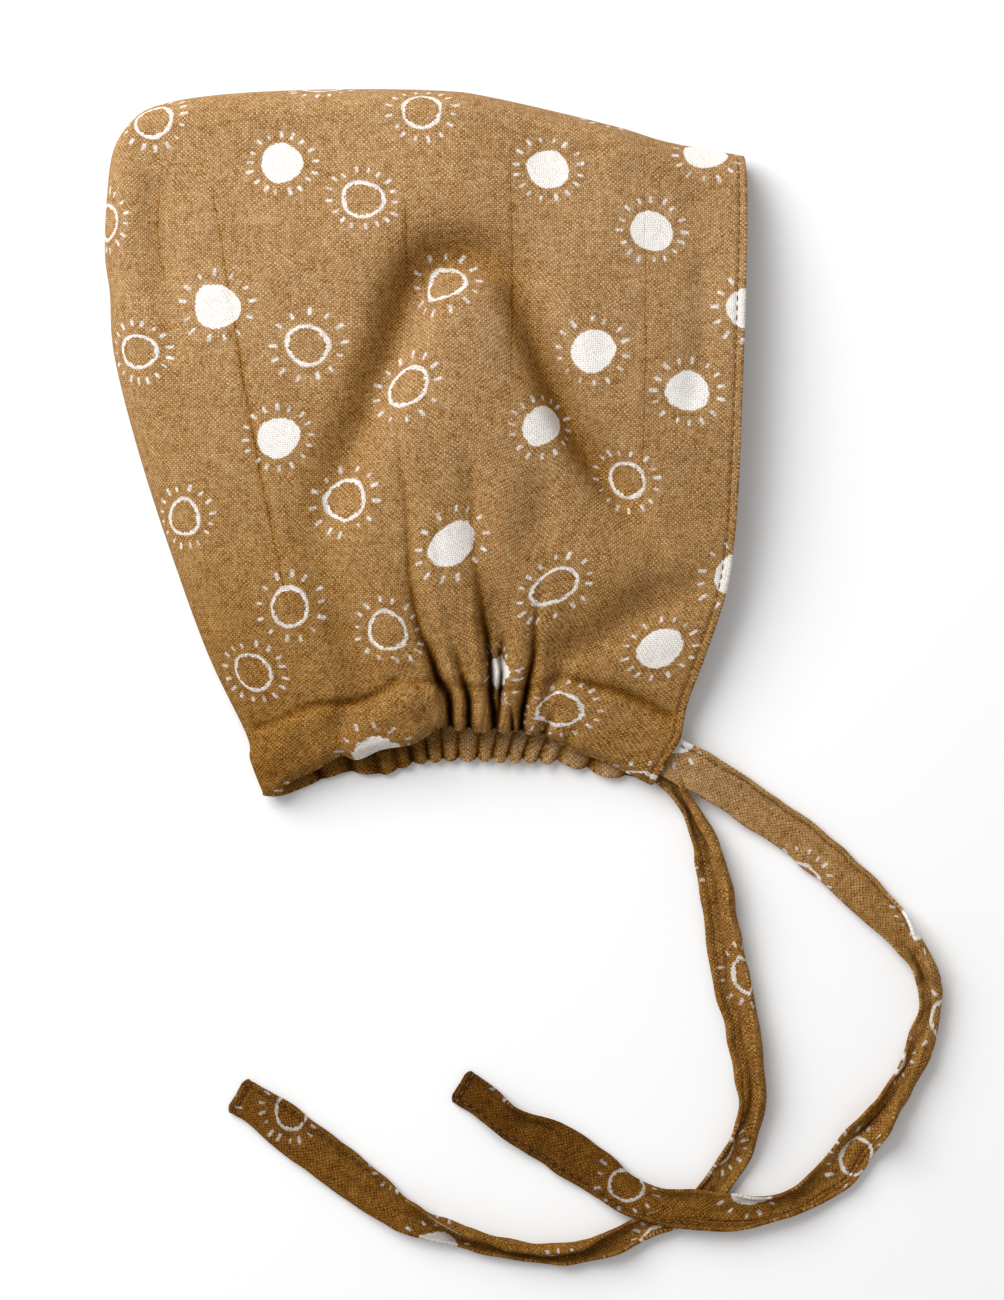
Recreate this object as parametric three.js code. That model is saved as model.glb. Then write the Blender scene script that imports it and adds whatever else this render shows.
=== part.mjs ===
// A child's sun bonnet of printed cotton muslin, lying on its side as in a flat lay.
// Two mirrored side panels are joined by one seam over the crown and down the back.
// The face opening is on the right (+X), the top of the head is up the page (+Y), and the
// nape hem is a casing whose middle is gathered on elastic. A flat sewn tie leaves each
// lower front corner. Millimetres, +Z up, the bonnet rests on z = 0.
import * as THREE from "three";

const clothThickness = 1.4; // two layers of muslin
const pieceGap = 0.3;

// The centre seam: both panels end in a flat ring there, and meet face to face.
const seamHeight = 4;
const lowerRoll = 5; // width of the lower panel's rolled edge
const upperRoll = 9; // width of the upper panel's rolled edge

// The outline, seen from above.
const backSeam = curveThrough([
  [-45.9, -99.9],
  [-49.6, -90.2],
  [-50.6, -83.2],
  [-61.8, -59.6],
  [-73.7, -26.7],
  [-82.4, 1],
  [-88.4, 25.6],
  [-89.5, 42.5],
  [-90.9, 53.5],
  [-90.3, 70],
  [-88.6, 82.4],
  [-84.6, 90],
]);
const topSeam = curveThrough([
  [-84.6, 90],
  [-78.4, 94.9],
  [-65.9, 97.9],
  [-47.3, 99.6],
  [-22.7, 100.3],
  [3.9, 99.9],
  [19.6, 97.9],
  [52.1, 90.4],
  [66.4, 86.1],
  [75.9, 84.1],
  [90.4, 81.6],
]);
const frontEdge = curveThrough([
  [64.6, -96.9],
  [69.9, -87.9],
  [72.4, -83.4],
  [74.1, -74.4],
  [79.1, -60.7],
  [84.4, -44.7],
  [86.6, -32.4],
  [88.1, -14.1],
  [89.3, 17.3],
  [90.2, 45.6],
  [90.7, 67],
  [90.4, 81.6],
]);
const upperHem = curveThrough([
  [-45.9, -99.9],
  [-41.6, -99.6],
  [-38.1, -95.9],
  [-29.9, -92.1],
  [-23.6, -88.4],
  [-19, -89.6],
  [-12.1, -86.7],
  [-3, -85],
  [4.1, -80.6],
  [7.9, -82.2],
  [19.6, -83.4],
  [33.9, -85.6],
  [41.9, -88],
  [50.1, -89.8],
  [64.6, -96.9],
]);
const lowerHem = curveThrough([
  [-45.9, -99.9],
  [-40.4, -99.9],
  [-28.1, -95],
  [-21.9, -93.3],
  [-12.1, -93.9],
  [-3.3, -91],
  [6.4, -89.8],
  [19.6, -89.8],
  [38.7, -90.6],
  [44.1, -92.3],
  [56.4, -95.3],
  [64.6, -96.9],
]);

// How the elastic draws the cloth together: share of the cloth against share of the hem.
const gathering = [
  { cloth: 0, hem: 0 },
  { cloth: 0.3, hem: 0.41 },
  { cloth: 0.8, hem: 0.71 },
  { cloth: 1, hem: 1 },
];

// Heights of the upper panel, one row for each level from the hem (0) to the top seam (1).
const crownSections = [
  { level: 0, back: 8.5, crest: 12, front: 6.8 },
  { level: 0.1, back: 10, crest: 15, front: 7.2 },
  { level: 0.3, back: 13, crest: 21, front: 12.5 },
  { level: 0.55, back: 14, crest: 25.5, front: 17 },
  { level: 0.8, back: 14, crest: 24.5, front: 17 },
  { level: 1, back: 13, crest: 20, front: 13 },
];
const crestPlace = 0.5; // where the crest lies between back seam (0) and front edge (1)

// Soft folds of the upper panel, each along a path. Width and rise are given at the path's
// two ends, and a rise under 0 is a hollow.
const softFolds = [
  {
    name: "hollow round the fullness",
    path: [[1, 57.3], [-7, 43.9], [-15, 19.6], [-22.7, -10.4]],
    width: [4.5, 5.5],
    rise: [-6, -3],
  },
  {
    name: "hollow above the fullness",
    path: [[3, 58.5], [13, 60.4], [25, 53.7]],
    width: [4.5, 4.5],
    rise: [-4.5, -2.5],
  },
  {
    name: "hollow in front of the fullness",
    path: [[25.3, 43.9], [33, 22.4], [43, 3.3], [55.9, -16.1]],
    width: [4, 6],
    rise: [-3, -4.5],
  },
  {
    name: "lip of the tuck",
    path: [[10, -78], [8.4, -66], [4.5, -52], [1.4, -36], [-2, -4]],
    width: [3, 4],
    rise: [2, 0.5],
  },
  {
    name: "hollow above the front corner",
    path: [[45.9, -59], [61.6, -47.6], [75.9, -41.9]],
    width: [6, 6],
    rise: [-2.5, -1.5],
  },
  {
    name: "pucker in the casing",
    path: [[-24, -80], [-22, -76]],
    width: [3.5, 3.5],
    rise: [-2.2, -1.5],
  },
  {
    name: "hollow down the back",
    path: [[-75.6, 69.6], [-73.3, 49.6], [-69.9, 26.7]],
    width: [4, 4],
    rise: [-2.2, -1.2],
  },
  {
    name: "hollow behind the front edge",
    path: [[78.7, 46.7], [78.9, 29.6], [75.9, 12.4]],
    width: [4, 4],
    rise: [-1.4, -1],
  },
];

// Creases with a sharp bottom: the tuck and gathers that rise from the hem, and the dent
// that the casing's stitches pull.
const creases = [
  {
    name: "tuck",
    path: [[5.9, -80], [4.4, -70.4], [0.1, -56.1], [-3.6, -40.1], [-7, -7.6]],
    width: [1.8, 2.2],
    rise: [-5.5, -0.5],
  },
  {
    name: "gather beside the tuck",
    path: [[13, -82.9], [11.9, -70.4], [7.9, -56.1]],
    width: [1.7, 2.5],
    rise: [-4.5, -0.4],
  },
  {
    name: "long gather",
    path: [[19.6, -83.4], [18.7, -67.6], [17.6, -50.4], [13, -33.3], [13.6, -7.6]],
    width: [1.6, 4],
    rise: [-5, -0.6],
  },
  {
    name: "narrow gather",
    path: [[21.9, -83.4], [22.7, -67.6], [23.6, -56.1]],
    width: [1.3, 2],
    rise: [-3.5, -0.4],
  },
  {
    name: "wide gather",
    path: [[27.9, -84.4], [30.1, -70.4], [32.1, -56.1], [33, -44.7]],
    width: [1.7, 3],
    rise: [-4.5, -0.8],
  },
  {
    name: "short gather",
    path: [[33.9, -85.6], [36.4, -74.7], [39.3, -64.7]],
    width: [1.7, 3],
    rise: [-4, -0.8],
  },
  {
    name: "last gather",
    path: [[38.1, -87], [42.1, -79.6], [47.3, -73.3]],
    width: [1.8, 3],
    rise: [-3, -0.5],
  },
  {
    name: "casing line in front",
    path: [[43, -68.1], [57, -71.3], [69.6, -77.9]],
    width: [1.4, 1.4],
    rise: [-1.6, -1.6],
  },
  {
    name: "casing line behind",
    path: [[-48, -81], [-40.4, -78.1], [-31, -74.4], [-18.4, -73.4], [-8.1, -67.6]],
    width: [1.4, 1.6],
    rise: [-1.2, -1.4],
  },
];
const foldPathSteps = 14;

// The elastic also draws the hem up a little at the bottom of each gather.
const hemDraw = { share: 0.3, reach: 0.06 };

// Ruffles of the lower panel's casing, where the elastic draws it in: round tubes of cloth
// with a slit between each two, where the hem is notched.
const ruffles = { count: 10, from: 0.27, to: 0.82, rise: 2.6, reach: 0.16, notch: 1.6 };

// Ties: each row is a place on the middle line, with the tie's width seen from above and its
// thickness there, which grows where the tie curls lengthwise. z is its underside.
const rightTie = [
  { x: 65.6, y: -86.6, z: 3.5, width: 11, thick: 1.5 },
  { x: 72, y: -90.6, z: 3.5, width: 11.6, thick: 1.5 },
  { x: 79.6, y: -94.4, z: 3.1, width: 11.6, thick: 1.5 },
  { x: 91.7, y: -101.8, z: 1, width: 11.4, thick: 1.5 },
  { x: 106.2, y: -112, z: 0.1, width: 11, thick: 1.5 },
  { x: 118.6, y: -122.5, z: 0.1, width: 11.2, thick: 1.6 },
  { x: 128.9, y: -132.5, z: 0.1, width: 10.2, thick: 1.8 },
  { x: 138, y: -142.9, z: 0.1, width: 7.4, thick: 2.6 },
  { x: 143.3, y: -152, z: 0.1, width: 6.1, thick: 4 },
  { x: 144.3, y: -160.1, z: 0.1, width: 5.8, thick: 4 },
  { x: 142.2, y: -168.4, z: 0.1, width: 6.4, thick: 4 },
  { x: 138.7, y: -177.3, z: 0.1, width: 6.2, thick: 3.8 },
  { x: 132.8, y: -187.7, z: 0.1, width: 7, thick: 3 },
  { x: 124.8, y: -198, z: 0.1, width: 10.2, thick: 2 },
  { x: 117.2, y: -208.1, z: 0.1, width: 10, thick: 1.8 },
  { x: 107.6, y: -215, z: 0.3, width: 7, thick: 2 },
  { x: 98, y: -218.2, z: 1.4, width: 7, thick: 1.8 },
  { x: 88, y: -218.9, z: 2.3, width: 9.8, thick: 1.5 },
  { x: 77, y: -218.1, z: 2.5, width: 10.8, thick: 1.5 },
  { x: 66.5, y: -217, z: 2.3, width: 9.8, thick: 1.5 },
  { x: 57.1, y: -213.8, z: 1, width: 10.4, thick: 1.5 },
  { x: 50, y: -208.6, z: 0.1, width: 12, thick: 1.5 },
  { x: 42.1, y: -203.2, z: 0.1, width: 12.4, thick: 1.5 },
  { x: 33, y: -198, z: 0.1, width: 11.4, thick: 1.5 },
  { x: 23.4, y: -193.3, z: 0.1, width: 9.2, thick: 2 },
  { x: 15.6, y: -186.6, z: 0.1, width: 9.6, thick: 1.8 },
  { x: 9.9, y: -182.9, z: 0.1, width: 9.8, thick: 1.5 },
];
const leftTie = [
  { x: 63.6, y: -89.4, z: 1.8, width: 8.6, thick: 1.4 },
  { x: 69, y: -94.5, z: 1.7, width: 7, thick: 1.5 },
  { x: 72.9, y: -100.1, z: 0.6, width: 4.6, thick: 2.6 },
  { x: 76.5, y: -106.4, z: 0.1, width: 4.8, thick: 3 },
  { x: 80.2, y: -114.4, z: 0.1, width: 7, thick: 2.8 },
  { x: 82.9, y: -125.9, z: 0.1, width: 8.6, thick: 2.4 },
  { x: 85, y: -139.6, z: 0.1, width: 9, thick: 2.2 },
  { x: 87.4, y: -153.3, z: 0.1, width: 10, thick: 2 },
  { x: 90.6, y: -167, z: 0.1, width: 9.2, thick: 2.2 },
  { x: 92.6, y: -180.7, z: 0.1, width: 8.4, thick: 2.6 },
  { x: 93.3, y: -187.6, z: 0.1, width: 7.2, thick: 2.8 },
  { x: 92, y: -194.5, z: 0.1, width: 7, thick: 2.4 },
  { x: 89.4, y: -201.7, z: 0.1, width: 7.2, thick: 1.9 },
  { x: 85.3, y: -209.2, z: 0.1, width: 7, thick: 1.6 },
  { x: 79.4, y: -215.8, z: 0.1, width: 6.8, thick: 1.6 },
  { x: 72.3, y: -219.6, z: 0.1, width: 6.6, thick: 1.6 },
  { x: 64.4, y: -222.7, z: 0.1, width: 6.6, thick: 1.7 },
  { x: 54, y: -227.5, z: 0.1, width: 6.4, thick: 2.2 },
  { x: 43.6, y: -230.4, z: 0.1, width: 6, thick: 2.6 },
  { x: 32.1, y: -230.9, z: 0.1, width: 5.6, thick: 2.8 },
  { x: 20.7, y: -228.8, z: 0.1, width: 5.3, thick: 2.8 },
  { x: 8.9, y: -225.7, z: 0.1, width: 6.2, thick: 2.6 },
  { x: -1.5, y: -222, z: 0.1, width: 7.6, thick: 2.2 },
  { x: -10, y: -217.4, z: 0.1, width: 10, thick: 1.8 },
  { x: -16.3, y: -212.6, z: 0.1, width: 11, thick: 1.5 },
  { x: -23.9, y: -207, z: 0.1, width: 12, thick: 1.5 },
  { x: -31.4, y: -201.5, z: 0.1, width: 12.4, thick: 1.5 },
  { x: -38.5, y: -196, z: 0.1, width: 12, thick: 1.5 },
  { x: -46.1, y: -190.4, z: 0.1, width: 10.6, thick: 1.5 },
  { x: -53.9, y: -185.8, z: 0.1, width: 10.2, thick: 1.5 },
];
const tieSteps = 58;
const tieSectionSides = 8;
const tieSquareness = 0.35; // 1 is an oval section, and near 0 is a flat one with square edges

const panelColour = [0.66, 0.49, 0.3];
const tieColour = [0.62, 0.46, 0.28];
const muslinRoughness = 0.95;

function curveThrough(points) {
  return new THREE.SplineCurve(points.map(([x, y]) => new THREE.Vector2(x, y)));
}

// The two rows of a table around a place, and how far the place is from one to the other.
function rowsAround(rows, column, place) {
  const found = rows.findIndex((row) => row[column] >= place);
  const next = Math.max(1, found);
  const share = (place - rows[next - 1][column]) / (rows[next][column] - rows[next - 1][column]);
  return { next, share };
}

function fromTable(rows, placeColumn, place, column) {
  const { next, share } = rowsAround(rows, placeColumn, place);
  return THREE.MathUtils.lerp(rows[next - 1][column], rows[next][column], share);
}

// As above, but rounded over at the rows.
function smoothFromTable(rows, placeColumn, place, column) {
  const { next, share } = rowsAround(rows, placeColumn, place);
  const value = (i) => rows[THREE.MathUtils.clamp(i, 0, rows.length - 1)][column];
  const [p0, p1, p2, p3] = [next - 2, next - 1, next, next + 1].map(value);
  const [slope1, slope2] = [(p2 - p0) / 2, (p3 - p1) / 2];
  return (
    (2 * p1 - 2 * p2 + slope1 + slope2) * share ** 3 +
    (3 * p2 - 3 * p1 - 2 * slope1 - slope2) * share ** 2 +
    slope1 * share +
    p1
  );
}

// Where a cloth point lies, seen from above. u runs from the back seam to the front edge and
// v from the hem to the top seam, and the patch blends its four edges.
function clothPlace(hem, u, v) {
  const place = new THREE.Vector2();
  const add = (point, weight) => place.addScaledVector(point, weight);
  add(hem.getPointAt(fromTable(gathering, "cloth", u, "hem")), 1 - v);
  add(topSeam.getPointAt(u), v);
  add(backSeam.getPointAt(v), 1 - u);
  add(frontEdge.getPointAt(v), u);
  add(backSeam.getPointAt(0), -(1 - u) * (1 - v));
  add(frontEdge.getPointAt(0), -u * (1 - v));
  add(topSeam.getPointAt(0), -(1 - u) * v);
  add(topSeam.getPointAt(1), -u * v);
  return place;
}

function distanceFromBack(hem, u, v) {
  return u * THREE.MathUtils.lerp(hem.getLength(), topSeam.getLength(), v);
}

function distanceFromTop(v) {
  return (1 - v) * frontEdge.getLength();
}

// 0 at the seam, rising to 1 across the rolled edge as a quarter ellipse does.
function rollShare(hem, u, v, roll) {
  const quarter = (distance) => Math.sqrt(1 - Math.max(0, 1 - distance / roll) ** 2);
  return quarter(distanceFromBack(hem, u, v)) * quarter(distanceFromTop(v));
}

// The inside face starts one cloth thickness in from the seam and meets the outside face's
// place where the roll ends.
function insidePlace(hem, u, v, roll) {
  const inset = (distance) => clothThickness * Math.max(0, 1 - distance / roll);
  const du = inset(distanceFromBack(hem, u, v)) / topSeam.getLength();
  const dv = inset(distanceFromTop(v)) / frontEdge.getLength();
  return clothPlace(hem, u + du, v - dv);
}

// How far off a fold's path a place is, and how far along the path it is nearest.
function nearestOnPath(points, { x, y }) {
  let nearest = { off: Infinity, along: 0 };
  for (let i = 0; i + 1 < points.length; i++) {
    const [start, end] = [points[i], points[i + 1]];
    const [dx, dy] = [end.x - start.x, end.y - start.y];
    const t = ((x - start.x) * dx + (y - start.y) * dy) / (dx * dx + dy * dy);
    const share = THREE.MathUtils.clamp(t, 0, 1);
    const off = Math.hypot(x - start.x - share * dx, y - start.y - share * dy);
    if (off < nearest.off) nearest = { off, along: (i + share) / (points.length - 1) };
  }
  return nearest;
}

// The height that a set of folds adds at a place. The profile gives a fold's cross-section.
function foldsRise(folds, place, profile) {
  let sum = 0;
  for (const { points, width, rise } of folds) {
    const { off, along } = nearestOnPath(points, place);
    sum += THREE.MathUtils.lerp(...rise, along) * profile(off / THREE.MathUtils.lerp(...width, along));
  }
  return sum;
}

function withPathPoints(folds) {
  return folds.map((fold) => ({ ...fold, points: curveThrough(fold.path).getPoints(foldPathSteps) }));
}

const softFoldPaths = withPathPoints(softFolds);
const creasePaths = withPathPoints(creases);
const softRise = (place) => foldsRise(softFoldPaths, place, (t) => Math.exp(-t * t));
const creaseRise = (place) => foldsRise(creasePaths, place, (t) => Math.exp(-t));

function crownHeight(u, v) {
  const back = smoothFromTable(crownSections, "level", v, "back");
  const crest = smoothFromTable(crownSections, "level", v, "crest");
  const front = smoothFromTable(crownSections, "level", v, "front");
  const edge = u < crestPlace ? back : front;
  const span = u < crestPlace ? crestPlace : 1 - crestPlace;
  return edge + (crest - edge) * Math.cos((Math.PI / 2) * (Math.abs(u - crestPlace) / span));
}

// The right side panel, on top. Its face is lifted clear of the lower one by its own seam.
function upperFace(place, u, v, drop) {
  const seam = seamHeight + pieceGap / 2;
  const crease = creaseRise(place);
  const height = crownHeight(u, v) + softRise(place) + crease - drop;
  const draw = hemDraw.share * Math.max(0, 1 - v / hemDraw.reach) * -crease;
  const z = seam + (height - seam) * rollShare(upperHem, u, v, upperRoll);
  return new THREE.Vector3(place.x, place.y + draw, z);
}

const upperOutside = (u, v) => upperFace(clothPlace(upperHem, u, v), u, v, 0);
const upperInside = (u, v) => upperFace(insidePlace(upperHem, u, v, upperRoll), u, v, clothThickness);

// How much the lower panel's casing is lifted into tubes and notched by slits at a cloth point.
function ruffle(u, v) {
  const { count, from, to, reach, rise, notch } = ruffles;
  if (u < from || u > to || v > reach) return { lift: 0, draw: 0 };
  const tube = Math.abs(Math.sin((Math.PI * count * (u - from)) / (to - from)));
  const fade = (1 - v / reach) ** 2;
  return { lift: rise * tube * fade, draw: notch * (1 - tube) * fade };
}

// The left side panel, underneath, flat on the surface inside its rolled edge.
function lowerFace(place, u, v, seam, drop) {
  const { lift, draw } = ruffle(u, v);
  const z = lift + drop + seam * (1 - rollShare(lowerHem, u, v, lowerRoll));
  return new THREE.Vector3(place.x, place.y + draw, z);
}

const lowerSeam = seamHeight - pieceGap / 2;
const lowerOutside = (u, v) => lowerFace(clothPlace(lowerHem, u, v), u, v, lowerSeam, 0);
const lowerInside = (u, v) =>
  lowerFace(insidePlace(lowerHem, u, v, lowerRoll), u, v, lowerSeam - clothThickness, clothThickness);

// A closed sheet between a top and a bottom face, both given on the same cloth grid.
function closedSheet(us, vs, topFace, bottomFace) {
  const positions = [];
  for (const face of [topFace, bottomFace]) {
    for (const v of vs) for (const u of us) positions.push(...face(u, v).toArray());
  }
  const [lastU, lastV] = [us.length - 1, vs.length - 1];
  const [top, bottom] = [0, us.length * vs.length];
  const at = (face, i, j) => face + j * us.length + i;
  const index = [];
  const quad = (a, b, c, d) => index.push(a, b, c, a, c, d);
  for (let j = 0; j < lastV; j++) {
    for (let i = 0; i < lastU; i++) {
      quad(at(top, i, j), at(top, i + 1, j), at(top, i + 1, j + 1), at(top, i, j + 1));
      quad(at(bottom, i, j), at(bottom, i, j + 1), at(bottom, i + 1, j + 1), at(bottom, i + 1, j));
    }
  }
  const wall = (i, j, k, l) => quad(at(bottom, i, j), at(bottom, k, l), at(top, k, l), at(top, i, j));
  for (let i = 0; i < lastU; i++) {
    wall(i, 0, i + 1, 0);
    wall(i + 1, lastV, i, lastV);
  }
  for (let j = 0; j < lastV; j++) {
    wall(lastU, j, lastU, j + 1);
    wall(0, j + 1, 0, j);
  }
  return geometryFrom(positions, index);
}

function geometryFrom(positions, index) {
  const geometry = new THREE.BufferGeometry();
  geometry.setAttribute("position", new THREE.Float32BufferAttribute(positions, 3));
  geometry.setIndex(index);
  geometry.computeVertexNormals();
  return geometry;
}

// Grid lines from 0 to 1: stretches of even steps, each with its end and number of steps.
function gridLines(stretches) {
  const lines = [0];
  for (const { to, steps } of stretches) {
    const from = lines.at(-1);
    for (let i = 1; i <= steps; i++) lines.push(THREE.MathUtils.lerp(from, to, i / steps));
  }
  return lines;
}

const upperU = gridLines([
  { to: 0.004, steps: 1 },
  { to: 0.016, steps: 1 },
  { to: 0.05, steps: 2 },
  { to: 0.3, steps: 9 },
  { to: 0.8, steps: 36 },
  { to: 1, steps: 6 },
]);
const upperV = gridLines([
  { to: 0.15, steps: 7 },
  { to: 0.84, steps: 12 },
  { to: 0.95, steps: 4 },
  { to: 0.984, steps: 2 },
  { to: 0.996, steps: 1 },
  { to: 1, steps: 1 },
]);
const stepsPerRuffle = 4;
const lowerU = gridLines([
  { to: 0.003, steps: 1 },
  { to: 0.01, steps: 1 },
  { to: 0.03, steps: 1 },
  { to: ruffles.from, steps: 4 },
  { to: ruffles.to, steps: ruffles.count * stepsPerRuffle },
  { to: 1, steps: 3 },
]);
const lowerV = gridLines([
  { to: ruffles.reach, steps: 3 },
  { to: 0.84, steps: 6 },
  { to: 0.97, steps: 3 },
  { to: 0.99, steps: 1 },
  { to: 0.997, steps: 1 },
  { to: 1, steps: 1 },
]);

// The corners of a tie's section, each as shares of half the width and half the thickness.
function tieSection() {
  const corners = [];
  for (let k = 0; k < tieSectionSides; k++) {
    const angle = ((k + 0.5) / tieSectionSides) * 2 * Math.PI;
    const [side, rise] = [Math.cos(angle), Math.sin(angle)];
    const square = (value) => Math.sign(value) * Math.abs(value) ** tieSquareness;
    corners.push([square(side), rise]);
  }
  const [widest, highest] = [0, 1].map((axis) => Math.max(...corners.map((corner) => corner[axis])));
  return corners.map(([side, rise]) => [side / widest, rise / highest]);
}

// A tie: its section carried along the middle line and closed at both ends.
function tieGeometry(rows) {
  const middles = rows.map(({ x, y, z, thick }) => new THREE.Vector3(x, y, z + thick / 2));
  const line = new THREE.CatmullRomCurve3(middles);
  const numbered = rows.map((row, number) => ({ ...row, number }));
  const section = tieSection();
  const positions = [];
  for (let i = 0; i <= tieSteps; i++) {
    const t = i / tieSteps;
    const tangent = line.getTangent(t);
    const across = new THREE.Vector3(-tangent.y, tangent.x, 0).normalize();
    const width = smoothFromTable(numbered, "number", t * (rows.length - 1), "width");
    const thick = smoothFromTable(numbered, "number", t * (rows.length - 1), "thick");
    for (const [side, rise] of section) {
      const point = line.getPoint(t).addScaledVector(across, (side * width) / 2);
      positions.push(point.x, point.y, point.z + (rise * thick) / 2);
    }
  }
  const index = [];
  const at = (i, k) => i * tieSectionSides + (k % tieSectionSides);
  for (let i = 0; i < tieSteps; i++) {
    for (let k = 0; k < tieSectionSides; k++) {
      index.push(at(i, k), at(i, k + 1), at(i + 1, k + 1));
      index.push(at(i, k), at(i + 1, k + 1), at(i + 1, k));
    }
  }
  for (let k = 1; k + 1 < tieSectionSides; k++) {
    index.push(at(0, 0), at(0, k + 1), at(0, k));
    index.push(at(tieSteps, 0), at(tieSteps, k), at(tieSteps, k + 1));
  }
  return geometryFrom(positions, index);
}

function piece(name, geometry, colour) {
  const material = new THREE.MeshStandardMaterial({
    color: new THREE.Color().setRGB(...colour, THREE.SRGBColorSpace),
    roughness: muslinRoughness,
    metalness: 0,
  });
  const mesh = new THREE.Mesh(geometry, material);
  mesh.name = name;
  return mesh;
}

const bonnet = new THREE.Group();
bonnet.add(
  piece("right_side_panel", closedSheet(upperU, upperV, upperOutside, upperInside), panelColour),
  piece("left_side_panel", closedSheet(lowerU, lowerV, lowerInside, lowerOutside), panelColour),
  piece("right_tie", tieGeometry(rightTie), tieColour),
  piece("left_tie", tieGeometry(leftTie), tieColour),
);

export default bonnet;
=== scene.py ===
import math
import bpy
import numpy as np
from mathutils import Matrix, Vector, noise
from mathutils.bvhtree import BVHTree


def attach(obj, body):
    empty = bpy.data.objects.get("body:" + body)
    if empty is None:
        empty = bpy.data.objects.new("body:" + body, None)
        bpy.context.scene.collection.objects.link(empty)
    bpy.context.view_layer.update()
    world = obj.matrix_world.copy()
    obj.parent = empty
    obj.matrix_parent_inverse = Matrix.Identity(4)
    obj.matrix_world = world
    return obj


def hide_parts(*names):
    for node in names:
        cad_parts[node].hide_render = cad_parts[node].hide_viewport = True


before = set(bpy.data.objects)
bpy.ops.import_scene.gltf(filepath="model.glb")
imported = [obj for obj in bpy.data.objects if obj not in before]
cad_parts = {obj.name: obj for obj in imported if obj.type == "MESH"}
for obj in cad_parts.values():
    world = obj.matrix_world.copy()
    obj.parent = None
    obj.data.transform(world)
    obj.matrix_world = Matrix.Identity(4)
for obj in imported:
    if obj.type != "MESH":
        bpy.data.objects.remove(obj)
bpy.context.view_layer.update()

# The tables below are in millimetres, as the bonnet was drafted. Meshes are made in metres.
mm = 0.001
scene = bpy.context.scene
scene.view_settings.view_transform = "Standard"

photoView = {
    "over": (22.1, -59.0),  # the place under the lens
    "height": 1031.7,
    "lens": 100.0,
}


def addObject(name, data):
    made = bpy.data.objects.new(name, data)
    scene.collection.objects.link(made)
    return made


def addMesh(name, points, edges, faces):
    # points in metres
    mesh = bpy.data.meshes.new(name)
    mesh.from_pydata(points, edges, faces)
    return addObject(name, mesh), mesh


def addCamera():
    data = bpy.data.cameras.new("photoCamera")
    data.lens = photoView["lens"]
    data.clip_start, data.clip_end = 0.05, 10
    scene.camera = addObject("photoCamera", data)
    x, y = photoView["over"]
    scene.camera.location = (x * mm, y * mm, photoView["height"] * mm)


addCamera()
print("camera: over the bonnet, top of the head up")


def fromScreen(red, green, blue):
    # a colour read from a screen, as the shader's linear light
    def linear(value):
        value /= 255
        return value / 12.92 if value <= 0.04045 else ((value + 0.055) / 1.055) ** 2.4

    return (linear(red), linear(green), linear(blue), 1.0)


class Nodes:
    # a tree of nodes, linked as they are added
    def node(self, kind, values=None, **settings):
        made = self.tree.nodes.new(kind)
        for key, value in settings.items():
            setattr(made, key, value)
        for key, value in (values or {}).items():
            socket = getattr(value, "socket", value)
            if isinstance(socket, bpy.types.NodeSocket):
                self.tree.links.new(socket, made.inputs[key])
            else:
                made.inputs[key].default_value = value
        return made

    def take(self, kind, values=None, output=0, **settings):
        return self.node(kind, values, **settings).outputs[output]


class Wire:
    # a shader socket that can stand in a sum
    def __init__(self, finish, socket):
        self.finish, self.socket = finish, socket

    def __add__(self, other):
        return self.finish.maths("ADD", self, other)

    __radd__ = __add__

    def __sub__(self, other):
        return self.finish.maths("SUBTRACT", self, other)

    def __rsub__(self, other):
        return self.finish.maths("SUBTRACT", other, self)

    def __mul__(self, other):
        return self.finish.maths("MULTIPLY", self, other)

    __rmul__ = __mul__

    def __truediv__(self, other):
        return self.finish.maths("DIVIDE", self, other)


class Finish(Nodes):
    # one material and the nodes that are added to it
    def __init__(self, name):
        self.material = bpy.data.materials.new(name)
        self.material.use_nodes = True
        self.tree = self.material.node_tree
        self.tree.nodes.clear()

    def take(self, *given, **settings):
        return Wire(self, super().take(*given, **settings))

    def maths(self, operation, *values):
        return self.take("ShaderNodeMath", dict(enumerate(values)), operation=operation)

    def parts(self, vector):
        split = self.node("ShaderNodeSeparateXYZ", {0: vector})
        return [Wire(self, socket) for socket in split.outputs]

    def vector(self, x, y):
        return self.take("ShaderNodeCombineXYZ", {0: x, 1: y})

    def between(self, value, low, high):
        # 0 up to low, 1 from high, and even between them; the other way round where low is larger
        values = {"Value": value, "From Min": low, "From Max": high}
        return self.take("ShaderNodeMapRange", values, clamp=True)

    def under(self, value, limit, edge):
        # 1 under the limit and 0 over it, with an edge this soft to each side
        return self.between(value, limit + edge, limit - edge)

    def mixColour(self, share, colour, other, blend="MIX"):
        values = {0: share, 6: colour, 7: other}
        return self.take("ShaderNodeMix", values, 2, data_type="RGBA", blend_type=blend)

    def ramp(self, value, first, last, inside):
        made = self.node("ShaderNodeValToRGB", {0: value})
        elements = made.color_ramp.elements
        elements[0].color, elements[1].color = first, last
        for place, colour in inside:
            elements.new(place).color = colour
        return Wire(self, made.outputs[0])

    def noise(self, x, y, scale, detail=2.0):
        values = {"Vector": self.vector(x, y), "Scale": scale, "Detail": detail}
        return self.take("ShaderNodeTexNoise", values, noise_dimensions="2D")

    def chance(self, x, y):
        values = {"Vector": self.vector(x, y)}
        return self.take("ShaderNodeTexWhiteNoise", values, noise_dimensions="2D")

    def bump(self, height, strength, distance, **normal):
        values = {"Strength": strength, "Distance": distance * mm, "Height": height, **normal}
        return self.take("ShaderNodeBump", values)

    def finished(self, values):
        shader = self.take("ShaderNodeBsdfPrincipled", values)
        self.node("ShaderNodeOutputMaterial", {"Surface": shader})
        return self.material


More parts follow.
